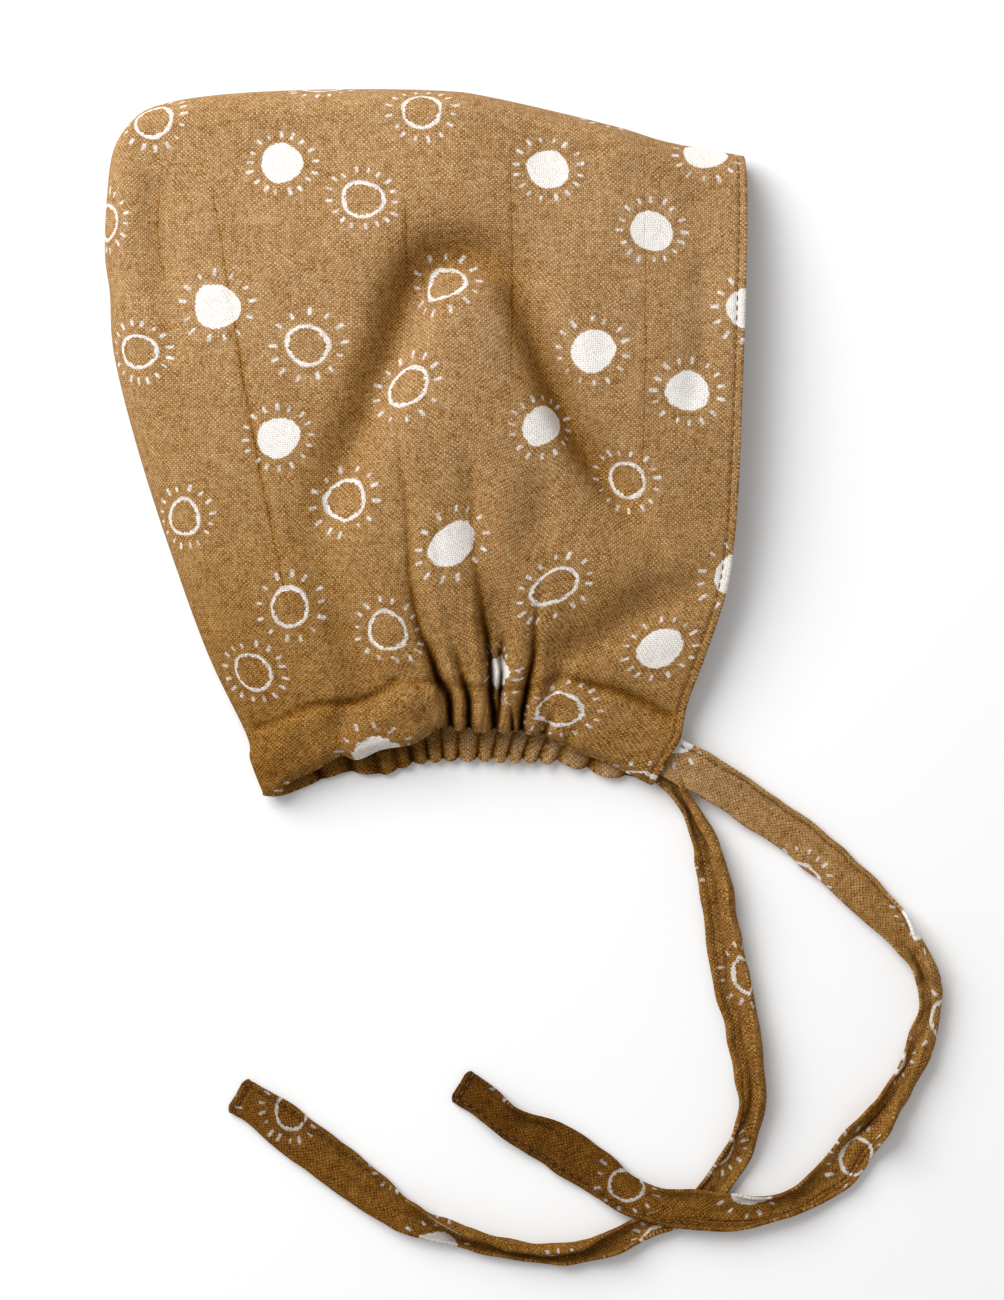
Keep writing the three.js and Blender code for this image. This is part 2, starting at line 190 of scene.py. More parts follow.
# Muslin is a plain weave of uneven thread, mustard, printed with small hand drawn suns in white.
muslin = {
    "threadPitch": 0.59,
    "sway": 3.5,  # how many threads' width a thread wanders aside
    # dark is also the colour of the painted shade deep in the folds
    "dark": fromScreen(48, 25, 2),  # between the threads, and deep in the folds
    "deep": fromScreen(118, 74, 15),
    "ground": fromScreen(162, 123, 78),
    "pale": fromScreen(187, 152, 112),
    "fleck": fromScreen(224, 192, 145),
    "warmth": (1.04, 0.98, 0.6, 1.0),  # what is left of light that goes from thread to thread in a fold
    "warmFrom": (0, 0.4),  # the shade where that begins, and where it is whole
    "shaded": 0.55,  # how far down its scale of colours full shade takes the cloth
    "calm": 0.7,  # and how much of the grain that hides
    "ironed": 0.15,  # the same as shaded, for an ironed crease
    "ironedFrom": 10,  # its middle in the attribute, which is 0 on a piece without creases
    "ironedEdge": (0.6, 0.05),
    # how many patches of each there are to a millimetre
    "patches": {"sway": 0.11, "slub": 0.09, "cloud": 0.03, "speck": 2.3, "crinkle": 0.22},
    "threadHeight": 0.16,
    "crinkle": 0.4,  # height of the crinkles that stay after washing
    "roughness": 0.95,
    "shine": 0.1,
}
# In the pairs that lucky reads, the second number is what luck adds to the first at most.
suns = {
    "spacing": 33,
    "shift": (11.37, 7.81),  # of the whole print, in spacings
    "looseness": 0.45,
    "turn": 27,  # degrees
    "height": (0.9, 0.22),  # against the width
    "white": fromScreen(248, 245, 240),
    "strays": (2.0, 0.35, 0.5),  # how far an edge strays: slowly, quickly and from thread to thread
    "ringShare": 0.52,  # of all suns, and the others are discs
    "disc": 5.8,  # radius
    "discEdge": 0.14,
    "ring": 5.3,  # radius to the middle of the drawn line
    "line": (0.36, 0.28),  # half its width
    "lineEdge": 0.12,
    "lineInk": (0.7, 0.3),
    "rays": (13, 17),  # fewest and most
    "rayFrom": (7.7, 0.7),
    "rayLength": (1.368, 0.855),
    "rayWidth": (0.3116, 0.1968),  # half of it
    "rayAskew": 0.3,
    "rayEdges": (0.2, 0.25),  # at its sides and its ends
    "rayInk": (0.45, 0.45),
    "inkWearAndEndShade": (0.82, 0.18, 0.14),  # the ink that every thread keeps, and what luck and its height add
    "missed": 0.85,  # the share of ink that a gap between threads takes
    "shaded": 0.5,  # and the share that full shade takes
}


def lucky(pair, luck):
    return pair[0] + luck * pair[1]


def sunInk(m, s, t, heather):
    # how much white ink lies at a place on the cloth. Its edge breaks from thread to thread.
    angle = math.radians(suns["turn"])
    p = (s * math.cos(angle) - t * math.sin(angle)) / suns["spacing"] + suns["shift"][0]
    q = (s * math.sin(angle) + t * math.cos(angle)) / suns["spacing"] + suns["shift"][1]
    cells = m.node(
        "ShaderNodeTexVoronoi",
        {"Vector": m.vector(p, q), "Scale": 1.0, "Randomness": suns["looseness"]},
        voronoi_dimensions="2D",
    )
    middleP, middleQ, _ = m.parts(Wire(m, cells.outputs["Position"]))
    pick, lean, turn = m.parts(Wire(m, cells.outputs["Color"]))
    x = (p - middleP) * suns["spacing"]
    y = (q - middleQ) * suns["spacing"] * lucky(suns["height"], lean)
    away = m.maths("SQRT", x * x + y * y)
    slow, quick, frayed = suns["strays"]
    drawn = away + (m.noise(s, t, 0.1, detail=0.0) - 0.5) * slow
    drawn = drawn + (m.noise(s, t, 0.45, detail=0.0) - 0.5) * quick + (heather - 0.5) * frayed
    disc = m.under(drawn, suns["disc"], suns["discEdge"])
    line = lucky(suns["line"], m.noise(t, s, 0.3, detail=0.0))
    ring = m.under(m.maths("ABSOLUTE", drawn - suns["ring"]), line, suns["lineEdge"])
    fewest, most = suns["rays"]
    count = m.maths("FLOOR", lean * (most - fewest + 0.99)) + fewest
    around = m.maths("ARCTAN2", y, x) / (2 * math.pi) * count + turn * 9
    which = m.maths("FLOORED_MODULO", m.maths("FLOOR", around), count)
    luck, unlike = m.chance(which, pick * 50), m.chance(which + 31.5, pick * 50)
    aside = m.maths("FRACT", around) - 0.5 + (unlike - 0.5) * suns["rayAskew"]
    aside = m.maths("ABSOLUTE", aside / count * (2 * math.pi) * away)
    start = lucky(suns["rayFrom"], unlike)
    stop = start + lucky(suns["rayLength"], luck)
    sideEdge, endEdge = suns["rayEdges"]
    ray = m.under(aside, lucky(suns["rayWidth"], luck), sideEdge)
    ray = ray * m.between(away, start - endEdge, start + endEdge) * m.under(away, stop, endEdge)
    whole = m.maths("GREATER_THAN", pick, suns["ringShare"])
    middle = disc * whole + ring * lucky(suns["lineInk"], heather) * (1 - whole)
    return m.maths("MAXIMUM", middle, ray * lucky(suns["rayInk"], heather))


def makeMuslin(name, printed=True):
    m = Finish(name)
    # the third part of the cloth attribute is painted shade: it darkens and warms the cloth's colour
    # where shade would fall
    s, t, shade = m.parts(m.take("ShaderNodeAttribute", output=1, attribute_name="cloth"))
    pitch, sway, patches = muslin["threadPitch"], muslin["sway"], muslin["patches"]
    column = s / pitch + (m.noise(s, t, patches["sway"]) - 0.5) * sway
    row = t / pitch + (m.noise(t, s, patches["sway"]) - 0.5) * sway
    across, along = m.maths("FRACT", column) - 0.5, m.maths("FRACT", row) - 0.5
    over = m.maths("SINE", column * math.pi) * m.maths("SINE", row * math.pi)
    warp = (1 - across * across * 4) * (0.6 + over * 0.4)
    weft = (1 - along * along * 4) * (0.6 - over * 0.4)
    thread = m.maths("MAXIMUM", warp, weft)
    hole = m.between(thread, 0.3, 0.05)
    whichColumn, whichRow = m.maths("FLOOR", column), m.maths("FLOOR", row)
    heather = m.chance(whichColumn, whichRow)
    slubs = m.noise(whichColumn * 3.7, row, patches["slub"])
    slubs = slubs + m.noise(whichRow * 3.7, column, patches["slub"])
    cloud = m.noise(s, t, patches["cloud"], detail=3.0)
    speck = m.noise(s, t, patches["speck"], detail=1.0)
    crinkle = m.noise(s, t, patches["crinkle"], detail=3.0)
    # what makes a thread lighter or darker: each with its middle value and its weight
    grain = sum(
        (wire - middle) * weight
        for wire, middle, weight in (
            (heather, 0.5, 0.27), (over, 0, 0.2), (thread, 0.55, 0.4), (slubs, 1, 0.2),
            (cloud, 0.5, 0.11), (speck, 0.5, 0.24), (hole, 0, -0.26),
        )
    )
    crease = m.take("ShaderNodeAttribute", output=2, attribute_name="pressed")
    crease = m.maths("ABSOLUTE", crease - muslin["ironedFrom"] + (crinkle - 0.5))
    crease = m.between(crease, *muslin["ironedEdge"])
    tone = 0.5 + grain * (1 - shade * muslin["calm"])
    tone = tone - shade * muslin["shaded"] - crease * muslin["ironed"]
    inside = ((0.2, muslin["deep"]), (0.46, muslin["ground"]), (0.7, muslin["pale"]))
    colour = m.ramp(tone, muslin["dark"], muslin["fleck"], inside)
    warm = m.between(shade, *muslin["warmFrom"])
    colour = m.mixColour(warm, colour, muslin["warmth"], "MULTIPLY")
    if printed:
        # the ink misses the gaps between the threads and wears off some of them, and painted shade dims
        # it
        least, byThread, onTop = suns["inkWearAndEndShade"]
        ink = sunInk(m, s, t, heather) * (least + heather * byThread + over * onTop)
        ink = ink * (1 - hole * suns["missed"]) * (1 - shade * suns["shaded"])
        colour = m.mixColour(ink, colour, suns["white"])
    weave = m.bump(thread + speck * 0.5, 0.8, muslin["threadHeight"])
    return m.finished({
        "Base Color": m.mixColour(shade * shade, colour, muslin["dark"]),
        "Roughness": muslin["roughness"],
        "Specular IOR Level": muslin["shine"],
        "Normal": m.bump(crinkle - crease * 0.25, 0.6, muslin["crinkle"], Normal=weave),
    })


stitchThread = {
    "colour": fromScreen(84, 54, 20),
    "pale": fromScreen(122, 85, 42),
    "twist": 0.5,  # from turn to turn of the plies
    "twistHeight": 0.05,
    "roughness": 0.8,
}


def makeThread():
    m = Finish("cottonThread")
    x, y, z = m.parts(m.take("ShaderNodeTexCoord", output=3))
    twist = m.maths("SINE", (x + y * 0.8 + z * 0.6) * (2 * math.pi / (stitchThread["twist"] * mm)))
    return m.finished({
        "Base Color": m.mixColour(twist * 0.5 + 0.5, stitchThread["colour"], stitchThread["pale"]),
        "Roughness": stitchThread["roughness"],
        "Normal": m.bump(twist, 0.5, stitchThread["twistHeight"]),
    })


printedMuslin = makeMuslin("printedMuslin")
plainMuslin = makeMuslin("plainMuslinLining", printed=False)
cottonThread = makeThread()
print("finishes: printed muslin, plain lining, cotton thread")


def splineAt(points, t):
    # Catmull-Rom through the points, t from 0 at the first to 1 at the last
    points = np.asarray(points, float)
    last = len(points) - 1
    t = np.clip(np.asarray(t, float), 0, 1) * last
    i = np.minimum(t.astype(int), last - 1)
    s = (t - i)[..., None]
    a, b, c, d = (points[np.clip(i + k, 0, last)] for k in (-1, 0, 1, 2))
    curved = (2 * a - 5 * b + 4 * c - d) * s**2 + (3 * b - a - 3 * c + d) * s**3
    return 0.5 * (2 * b + (c - a) * s + curved)


def runAlong(points):
    steps = np.linalg.norm(np.diff(points, axis=0), axis=1)
    return np.concatenate([[0], np.cumsum(steps)])


def ripples(scales, a, b, seed):
    # noise with this many ripples to one of a and one of b
    a, b = np.broadcast_arrays(a * scales[0], b * scales[1])
    flat = [noise.noise((x, y, seed)) for x, y in zip(a.ravel(), b.ravel())]
    return np.reshape(flat, a.shape)


def gridFaces(rows, columns, first=0, closed=False):
    # quads of a grid of points, counterclockwise where columns run right and rows run up
    j, i = np.mgrid[0 : rows - 1, 0 : columns if closed else columns - 1]
    right = (i + 1) % columns
    below, above = first + j * columns, first + (j + 1) * columns
    return np.stack([below + i, below + right, above + right, above + i], -1).reshape(-1, 4)


def addPiece(name, points, faces, cloth, finishes, finishOf=None):
    # points and cloth places in millimetres, one cloth place (s, t, shade) for each point
    piece, mesh = addMesh(name, (points * mm).tolist(), [], faces)
    places = mesh.attributes.new("cloth", "FLOAT_VECTOR", "POINT")
    places.data.foreach_set("vector", np.asarray(cloth, float).ravel())
    for finish in finishes:
        mesh.materials.append(finish)
    if finishOf is not None:
        mesh.polygons.foreach_set("material_index", np.asarray(finishOf, np.int32))
    mesh.shade_smooth()
    mesh.update()
    return piece


def dress(cloth):
    # a cloth piece takes the place of its plain solid
    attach(cloth["piece"], "root")
    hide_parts(cloth["node"])


# The ties are folded and topstitched ribbons that curl lengthwise. In their rows, width is as
# seen from above, thick is how high the curl stands, turn is how far it leans, in degrees, and z is
# how high it is lifted. The last two are left out of a row where they are 0 and 0.1.
rightTie = {
    "name": "rightTieCloth",
    "node": "right_tie",
    "cut": 12.0,
    "length": 286,
    "clothStart": (30, 284),  # the place in the printed cloth that it was cut from
    "stitchSide": 1,
    # painted shade along the tie, at its start and at its end, darker towards the end
    "paintedShadeAlong": (0.0, 0.66),
    # place along the tie, and how much tighter it curls on its left side than on its right
    "hook": [(70, 0), (88, 0.5), (100, 0.9), (122, 0.9), (135, 0.7), (150, 0.2), (165, 0)],
    # dents have their place along and across the tie, depth, reach along it and across it
    "dents": [
        (94, -2.5, 1.6, 5, 1.6), (101, -3.6, 2, 3.5, 1.3), (107, 0.5, 1.6, 4, 1.4),
        (150, -2.2, 2.4, 9, 1.3), (168, 3.2, 0.8, 18, 0.7), (205, 3.4, 0.7, 26, 0.6),
        (213, -3, 0.8, 6, 2), (246, 2.6, 0.7, 14, 0.9), (262, -2.5, 1.2, 4, 2), (272, 1, 0.7, 5, 2),
    ],
    "rows": [  # x, y, width, thick, turn, z
        (65.6, -86.6, 11, 1.5, 0, 3.5), (72, -90.6, 11.6, 1.5, 0, 3.5),
        (79.6, -94.4, 11.6, 1.5, 0, 3.1), (91.7, -101.8, 11.4, 1.5, 0, 1), (106.2, -112, 11, 1.5),
        (118.6, -122.5, 11.2, 1.6), (128.9, -132.5, 10.2, 1.8), (138, -142.9, 7.4, 2.6, 40),
        (143.3, -152, 6.1, 4, 60), (144.3, -160.1, 5.8, 4, 50), (142.2, -168.4, 6.4, 4, 60),
        (138.7, -177.3, 6.2, 3.8, 60), (132.8, -187.7, 7, 3, 40), (124.8, -198, 10.2, 2),
        (117.2, -208.1, 10, 1.8), (107.6, -215, 7, 2, 0, 0.3), (98, -218.2, 7, 1.8, 0, 1.4),
        (88, -218.9, 9.8, 1.5, 0, 2.3), (77, -218.1, 10.8, 1.5, 0, 2.5), (66.5, -217, 9.8, 1.5, 0, 2.3),
        (57.1, -213.8, 10.4, 1.5, 0, 1), (50, -208.6, 12, 1.5), (42.1, -203.2, 12.4, 1.5),
        (33, -198, 11.4, 1.5), (23.4, -193.3, 9.2, 2), (15.6, -186.6, 9.6, 1.8),
        (9.9, -182.9, 9.8, 1.5),
    ],
}
leftTie = {
    "name": "leftTieCloth",
    "node": "left_tie",
    "cut": 12.0,
    "length": 286,
    "clothStart": (160, 340),
    "stitchSide": -1,
    # painted shade along the tie, at its start and at its end, darker towards the end
    "paintedShadeAlong": (0.24, 0.54),
    "hook": [
        (0, 0), (12, 0.7), (30, 0.95), (105, 0.95), (120, 0.3), (135, 0), (165, 0), (180, -0.4),
        (286, 0),
    ],
    "dents": [
        (45, -1.8, 1.2, 18, 1.4), (80, -2.2, 1.3, 22, 1.3), (100, -1, 1, 8, 1.2), (116, 2, 0.8, 6, 1.6),
        (152, 0, 0.8, 6, 1.5), (172, -2, 0.9, 4, 1.5), (180, 1.5, 0.8, 4, 1.4), (222, 1, 0.8, 9, 1.3),
        (258, -3, 0.5, 20, 0.8),
    ],
    "rows": [  # x, y, width, thick, turn, z
        (63.6, -89.4, 8.6, 1.4, 0, 1.8), (69, -94.5, 7, 1.5, 0, 1.7), (72.9, -100.1, 4.6, 2.6, 30, 0.6),
        (76.5, -106.4, 4.8, 3, 40), (80.2, -114.4, 7, 2.8, 50), (82.9, -125.9, 8.6, 2.4, 50),
        (85, -139.6, 9, 2.2, 50), (87.4, -153.3, 10, 2, 40), (90.6, -167, 9.2, 2.2, 50),
        (92.6, -180.7, 8.4, 2.6, 50), (93.3, -187.6, 7.2, 2.8, 40), (92, -194.5, 7, 2.4, 30),
        (89.4, -201.7, 7.2, 1.9), (85.3, -209.2, 7, 1.6), (79.4, -215.8, 6.8, 1.6),
        (72.3, -219.6, 6.6, 1.6), (64.4, -222.7, 6.6, 1.7), (54, -227.5, 6.4, 2.2),
        (43.6, -230.4, 6, 2.6, -40), (32.1, -230.9, 5.6, 2.8, -50), (20.7, -228.8, 5.3, 2.8, -50),
        (8.9, -225.7, 6.2, 2.6, -40), (-1.5, -222, 7.6, 2.2, -20), (-10, -217.4, 10, 1.8),
        (-16.3, -212.6, 11, 1.5), (-23.9, -207, 12, 1.5), (-31.4, -201.5, 12.4, 1.5),
        (-38.5, -196, 12, 1.5), (-46.1, -190.4, 10.6, 1.5), (-53.9, -185.8, 10.2, 1.5),
    ],
}
tieCloth = {
    "thickness": 1.15,
    "step": 1.0,
    "endSteps": (0.08, 0.25, 0.5, 0.75, 1.25),  # closer rows, from the end
    "facets": 26,  # across the ribbon
    "edgeFacets": 4,  # round each long edge
    "edgeCloth": 0.8,  # cloth that half of a long edge takes up
    "endTaper": 0.9,  # the ribbon thins out over this length
    "cornerRound": 1.6,
    "stitchInset": 1.3,  # from the long edge
    "endStitch": 2.0,  # from the end
    "groove": (0.22, 0.45),  # its depth at the stitches, and how wide it is
    "grooveShade": 0.2,
    "stitchSink": 0.05,
    "firstStitch": 4,  # the row where the stitching comes out of the seam
    "leastCurl": 0.15,  # height of the lowest curl
    "leanFrom": (0.6, 1.5),  # the bend from which a curl can lean, and how much more lets it lean whole
    "spring": ((1.7, 2.3), (0.4, 1.0)),  # least share of its own height that a low and a high curl keep
    "wobble": 0.6,
    # how many ripples to a millimetre along and across, with their share of the wobble
    "ripples": (((0.16, 0.4), 1), ((0.45, 0.5), 0.4)),
    "edgeWobble": 0.7,
    "edgeRipples": (0.13, 0.25),
    "flatEnd": 16,  # the stitched end lies flat over this length
    "endCurl": 0.15,  # and keeps this share of its height
}


def soft(t):
    return np.exp(-t * t)


def sharp(t):
    return np.exp(-t)


def crevice(t):
    # the narrow drop between two round folds that touch
    return 1 - np.sqrt(1 - np.clip(1 - t / 1.5, 0, 1) ** 2)


def quarterRound(distance, roll):
    return np.sqrt(np.clip(1 - np.maximum(0, 1 - distance / roll) ** 2, 0, 1))


def unit(vectors):
    return vectors / np.maximum(np.linalg.norm(vectors, axis=-1, keepdims=True), 1e-9)


def curlFor(share):
    # the angle that a ribbon bends through when it looks this share of its cut width
    angles = np.linspace(0.05, 2 * math.pi - 0.6, 400)
    half = angles / 2
    widths = np.where(angles < math.pi, np.sin(half), 1.0) / half
    return np.interp(share, widths[::-1], angles[::-1])


def tieSections(tie):
    # the ribbon's middle surface: a row of points across it for each step along it
    rows = [(*row, *(0, 0.1)[len(row) - 4 :]) for row in tie["rows"]]
    dense = splineAt(rows, np.linspace(0, 1, 2000))
    run = runAlong(dense[:, [0, 1, 5]])
    places = np.linspace(0, run[-1], int(run[-1] / tieCloth["step"]) + 1)
    places = np.sort(np.concatenate([places, run[-1] - np.array(tieCloth["endSteps"])]))
    x, y, width, thick, turn, z = (np.interp(places, run, dense[:, k]) for k in range(6))
    middle = np.stack([x, y, z + thick / 2], 1)
    heading = unit(np.gradient(middle[:, :2], axis=0))
    across = np.stack([-heading[:, 1], heading[:, 0], np.zeros(len(x))], 1)
    share = np.linspace(-0.5, 0.5, tieCloth["facets"] + 1)
    flat = share * tie["cut"]
    bend = curlFor(np.minimum(width / tie["cut"], 0.995))[:, None]
    hook = np.interp(places, *np.array(tie["hook"], float).T)[:, None]
    slope = bend * (share + hook * (share**2 - 0.08))
    slope = (slope[:, 1:] + slope[:, :-1]) / 2
    side, rise = (
        np.pad(np.cumsum(turned(slope), 1), ((0, 0), (1, 0))) * (flat[1] - flat[0])
        for turned in (np.cos, np.sin)
    )
    leanFrom, leanOver = tieCloth["leanFrom"]
    lean = np.radians(turn)[:, None] * np.clip((bend - leanFrom) / leanOver, 0, 1)
    side, rise = side * np.cos(lean) - rise * np.sin(lean), side * np.sin(lean) + rise * np.cos(lean)
    low, high = side.min(1)[:, None], side.max(1)[:, None]
    edge, least = tieCloth["thickness"], tieCloth["leastCurl"]
    side = (side - (low + high) / 2) * ((width - edge * 0.5)[:, None] / (high - low))
    rise -= rise.min(1)[:, None]
    spring = np.interp(thick, *tieCloth["spring"])
    stretch = np.maximum(thick - edge, least) / np.maximum(rise.max(1), least)
    rise *= np.maximum(stretch, spring)[:, None]
    down = places[:, None]
    for at, aside, depth, reach, breadth in tie["dents"]:
        rise -= depth * soft((down - at) / reach) * soft((flat - aside) / breadth)
    seed = tie["clothStart"][0]
    wobble = sum(share * ripples(scales, down, flat, seed) for scales, share in tieCloth["ripples"])
    rise += wobble * tieCloth["wobble"] * np.clip(thick / 2, 0.5, 1)[:, None]
    toEnd = places[-1] - places
    rise *= np.clip(toEnd / tieCloth["flatEnd"], tieCloth["endCurl"], 1)[:, None]
    rise -= np.minimum(rise.min(1), 0)[:, None]
    side += ripples(tieCloth["edgeRipples"], down, flat, seed + 3) * tieCloth["edgeWobble"]
    corner = tieCloth["cornerRound"]
    trim = corner * (1 - quarterRound(toEnd, corner))
    side *= (1 - 2 * trim / width)[:, None]
    base = np.stack([x, y, z + edge / 2], 1)[:, None, :]
    surface = base + side[..., None] * across[:, None, :] + rise[..., None] * np.array([0, 0, 1.0])
    return surface, flat, places, middle


def makeTie(tie):
    surface, flat, places, middle = tieSections(tie)
    alongWay, acrossWay = np.gradient(surface, axis=0), np.gradient(surface, axis=1)
    up, outward = unit(np.cross(alongWay, acrossWay)), unit(acrossWay)
    ends = np.minimum(places, places[-1] - places)
    half = tieCloth["thickness"] / 2 * np.sqrt(np.clip(ends / tieCloth["endTaper"], 0.12, 1))
    seamAt = tie["stitchSide"] * (tie["cut"] / 2 - tieCloth["stitchInset"])
    fromEndSeam = np.abs(places[-1] - tieCloth["endStitch"] - places)
    fromSeam = np.minimum(np.abs(flat - seamAt), fromEndSeam[:, None])
    depth, reach = tieCloth["groove"]
    half = (half[:, None] - depth * soft(fromSeam / reach) * (ends > 1)[:, None])[..., None]
    turns = np.arange(1, tieCloth["edgeFacets"]) / tieCloth["edgeFacets"] * math.pi

    def rim(column, sign):
        # round a long edge, from the upper face to the lower one or back
        over, out, reach = up[:, column], outward[:, column], sign * half[:, column]
        ways = [over * math.cos(turn) + out * math.sin(turn) for turn in turns]
        return np.stack([surface[:, column] + reach * way for way in ways], 1)

    upper, lower = surface + up * half, surface - up * half
    ring = np.concatenate([upper, rim(-1, 1), lower[:, ::-1], rim(0, -1)], 1)
    rows, columns = ring.shape[:2]
    faces = gridFaces(rows, columns, closed=True)[:, ::-1].tolist()
    faces.append(list(range(columns)))
    faces.append([(rows - 1) * columns + k for k in range(columns)][::-1])
    right = flat[-1] + tieCloth["edgeCloth"]
    rimPlaces = np.full(len(turns), right)
    cloth = np.zeros((rows, columns, 3))
    s, t = tie["clothStart"]
    cloth[..., 0] = s + np.concatenate([flat, rimPlaces, 2 * right - flat[::-1], -rimPlaces])
    cloth[..., 1] = t + places[:, None]
    # painted shade that grows evenly from the tie's start to its end
    shadeAtStart, inkWearAndEndShade = tie["paintedShadeAlong"]
    cloth[..., 2] = shadeAtStart + (inkWearAndEndShade - shadeAtStart) * (places / places[-1])[:, None]
    cloth[:, : len(flat), 2] += tieCloth["grooveShade"] * soft(fromSeam / 0.5)
    ring, cloth = ring.reshape(-1, 3), cloth.reshape(-1, 3)
    tie["piece"] = addPiece(tie["name"], ring, faces, cloth, [printedMuslin])
    dress(tie)
    raised = surface + up * (tieCloth["thickness"] / 2 - tieCloth["stitchSink"])
    firstRow, endRow = tieCloth["firstStitch"], np.argmin(fromEndSeam)
    stitched = raised[firstRow : endRow + 1]
    run = [[np.interp(seamAt, flat, row[:, k]) for k in range(3)] for row in stitched]
    tie["middle"], tie["stitchPaths"] = middle, [np.array(run), raised[endRow, 1:-1]]
    print(f"tie: {tie['name']}, {runAlong(middle)[-1]:.0f} mm long, {len(faces)} faces")


for tie in (rightTie, leftTie):
    makeTie(tie)


# The two side panels share the outline seen from above, except for their hems.
outline = {
    "backSeam": [
        (-45.9, -99.9), (-49.6, -90.2), (-50.6, -83.2), (-61.8, -59.6), (-73.7, -26.7), (-82.4, 1),
        (-88.4, 25.6), (-89.5, 42.5), (-90.9, 53.5), (-90.3, 70), (-88.6, 82.4), (-84.6, 90),
    ],
    "topSeam": [
        (-84.6, 90), (-78.4, 94.9), (-65.9, 97.9), (-47.3, 99.6), (-22.7, 100.3), (3.9, 99.9),
        (19.6, 97.9), (52.1, 90.4), (66.4, 86.1), (75.9, 84.1), (90.4, 81.6),
    ],
    "frontEdge": [
        (64.6, -96.9), (69.9, -87.9), (72.4, -83.4), (74.1, -74.4), (79.1, -60.7), (84.4, -44.7),
        (86.6, -32.4), (88.1, -14.1), (89.3, 17.3), (90.2, 45.6), (90.7, 67), (90.4, 81.6),
    ],
    "gatherCloth": (0, 0.3, 0.8, 1),  # share of the cloth's width
    "gatherHem": (0, 0.41, 0.71, 1),  # share of the hem that it is drawn to
    "seamHeight": 4.0,
    "seamGap": 0.02,  # each panel keeps this far from it
    "rimBulge": (0.6, 0.6, 0, 0),  # how far a rim stands out, at the hem, front, top and back
    "clothThickness": 1.4,
}
rightPanel = {
    "name": "rightPanelCloth",
    "node": "right_side_panel",
    "hem": [
        (-45.9, -99.9), (-41.6, -99.6), (-38.1, -95.9), (-29.9, -92.1), (-23.6, -88.4), (-19, -89.6),
        (-12.1, -86.7), (-3, -85), (4.1, -80.6), (7.9, -81.4), (19.6, -82), (33.9, -83.2), (41.9, -87.2),
        (50.1, -89.8), (64.6, -96.9),
    ],
    "level": (0, 0.1, 0.3, 0.55, 0.8, 1),
    "back": (8.5, 10, 13, 14, 14, 13),
    "crest": (13, 16, 21.5, 25.5, 24.5, 20),
    "front": (6.8, 7.2, 12.5, 17, 17, 13),
    "crestPlace": 0.5,
    "roll": 9.0,
    "rollSteps": 8,
    "across": [(0.3, 46), (0.8, 132), (0.98, 30), (1, 10)],
    "down": [(0.5, 48), (0.85, 46), (0.99, 34), (1, 5)],
    "hemDraw": 0.35,
    "hemReach": 0.06,
    "lowest": (5.6, 0.7),  # the outside never dips under this, and how softly that holds it
    "edgeSeam": 0.35,
    "edgeSeamInset": 1.7,
    "stitchSink": 0.2,
    "clothFront": 90.7,  # the front edge in the cloth as it was cut
    "straightRow": 0.86,  # the row that lies straight, as a share of the way up
    # painted shade that darkens the panel towards the bottom, and more at the back
    "lowShade": ((-95, -70, -30, 30), (0.26, 0.17, 0.08, 0)),  # by y
    "backShade": ((-50, 10), (1.6, 1)),  # times this, by x
    # the painted shade of a hollow lies on its slope that faces away from the key light
    "shadeFrom": (4.0, 2.5),  # a hollow is darkest this far to the left of its path and above it
}
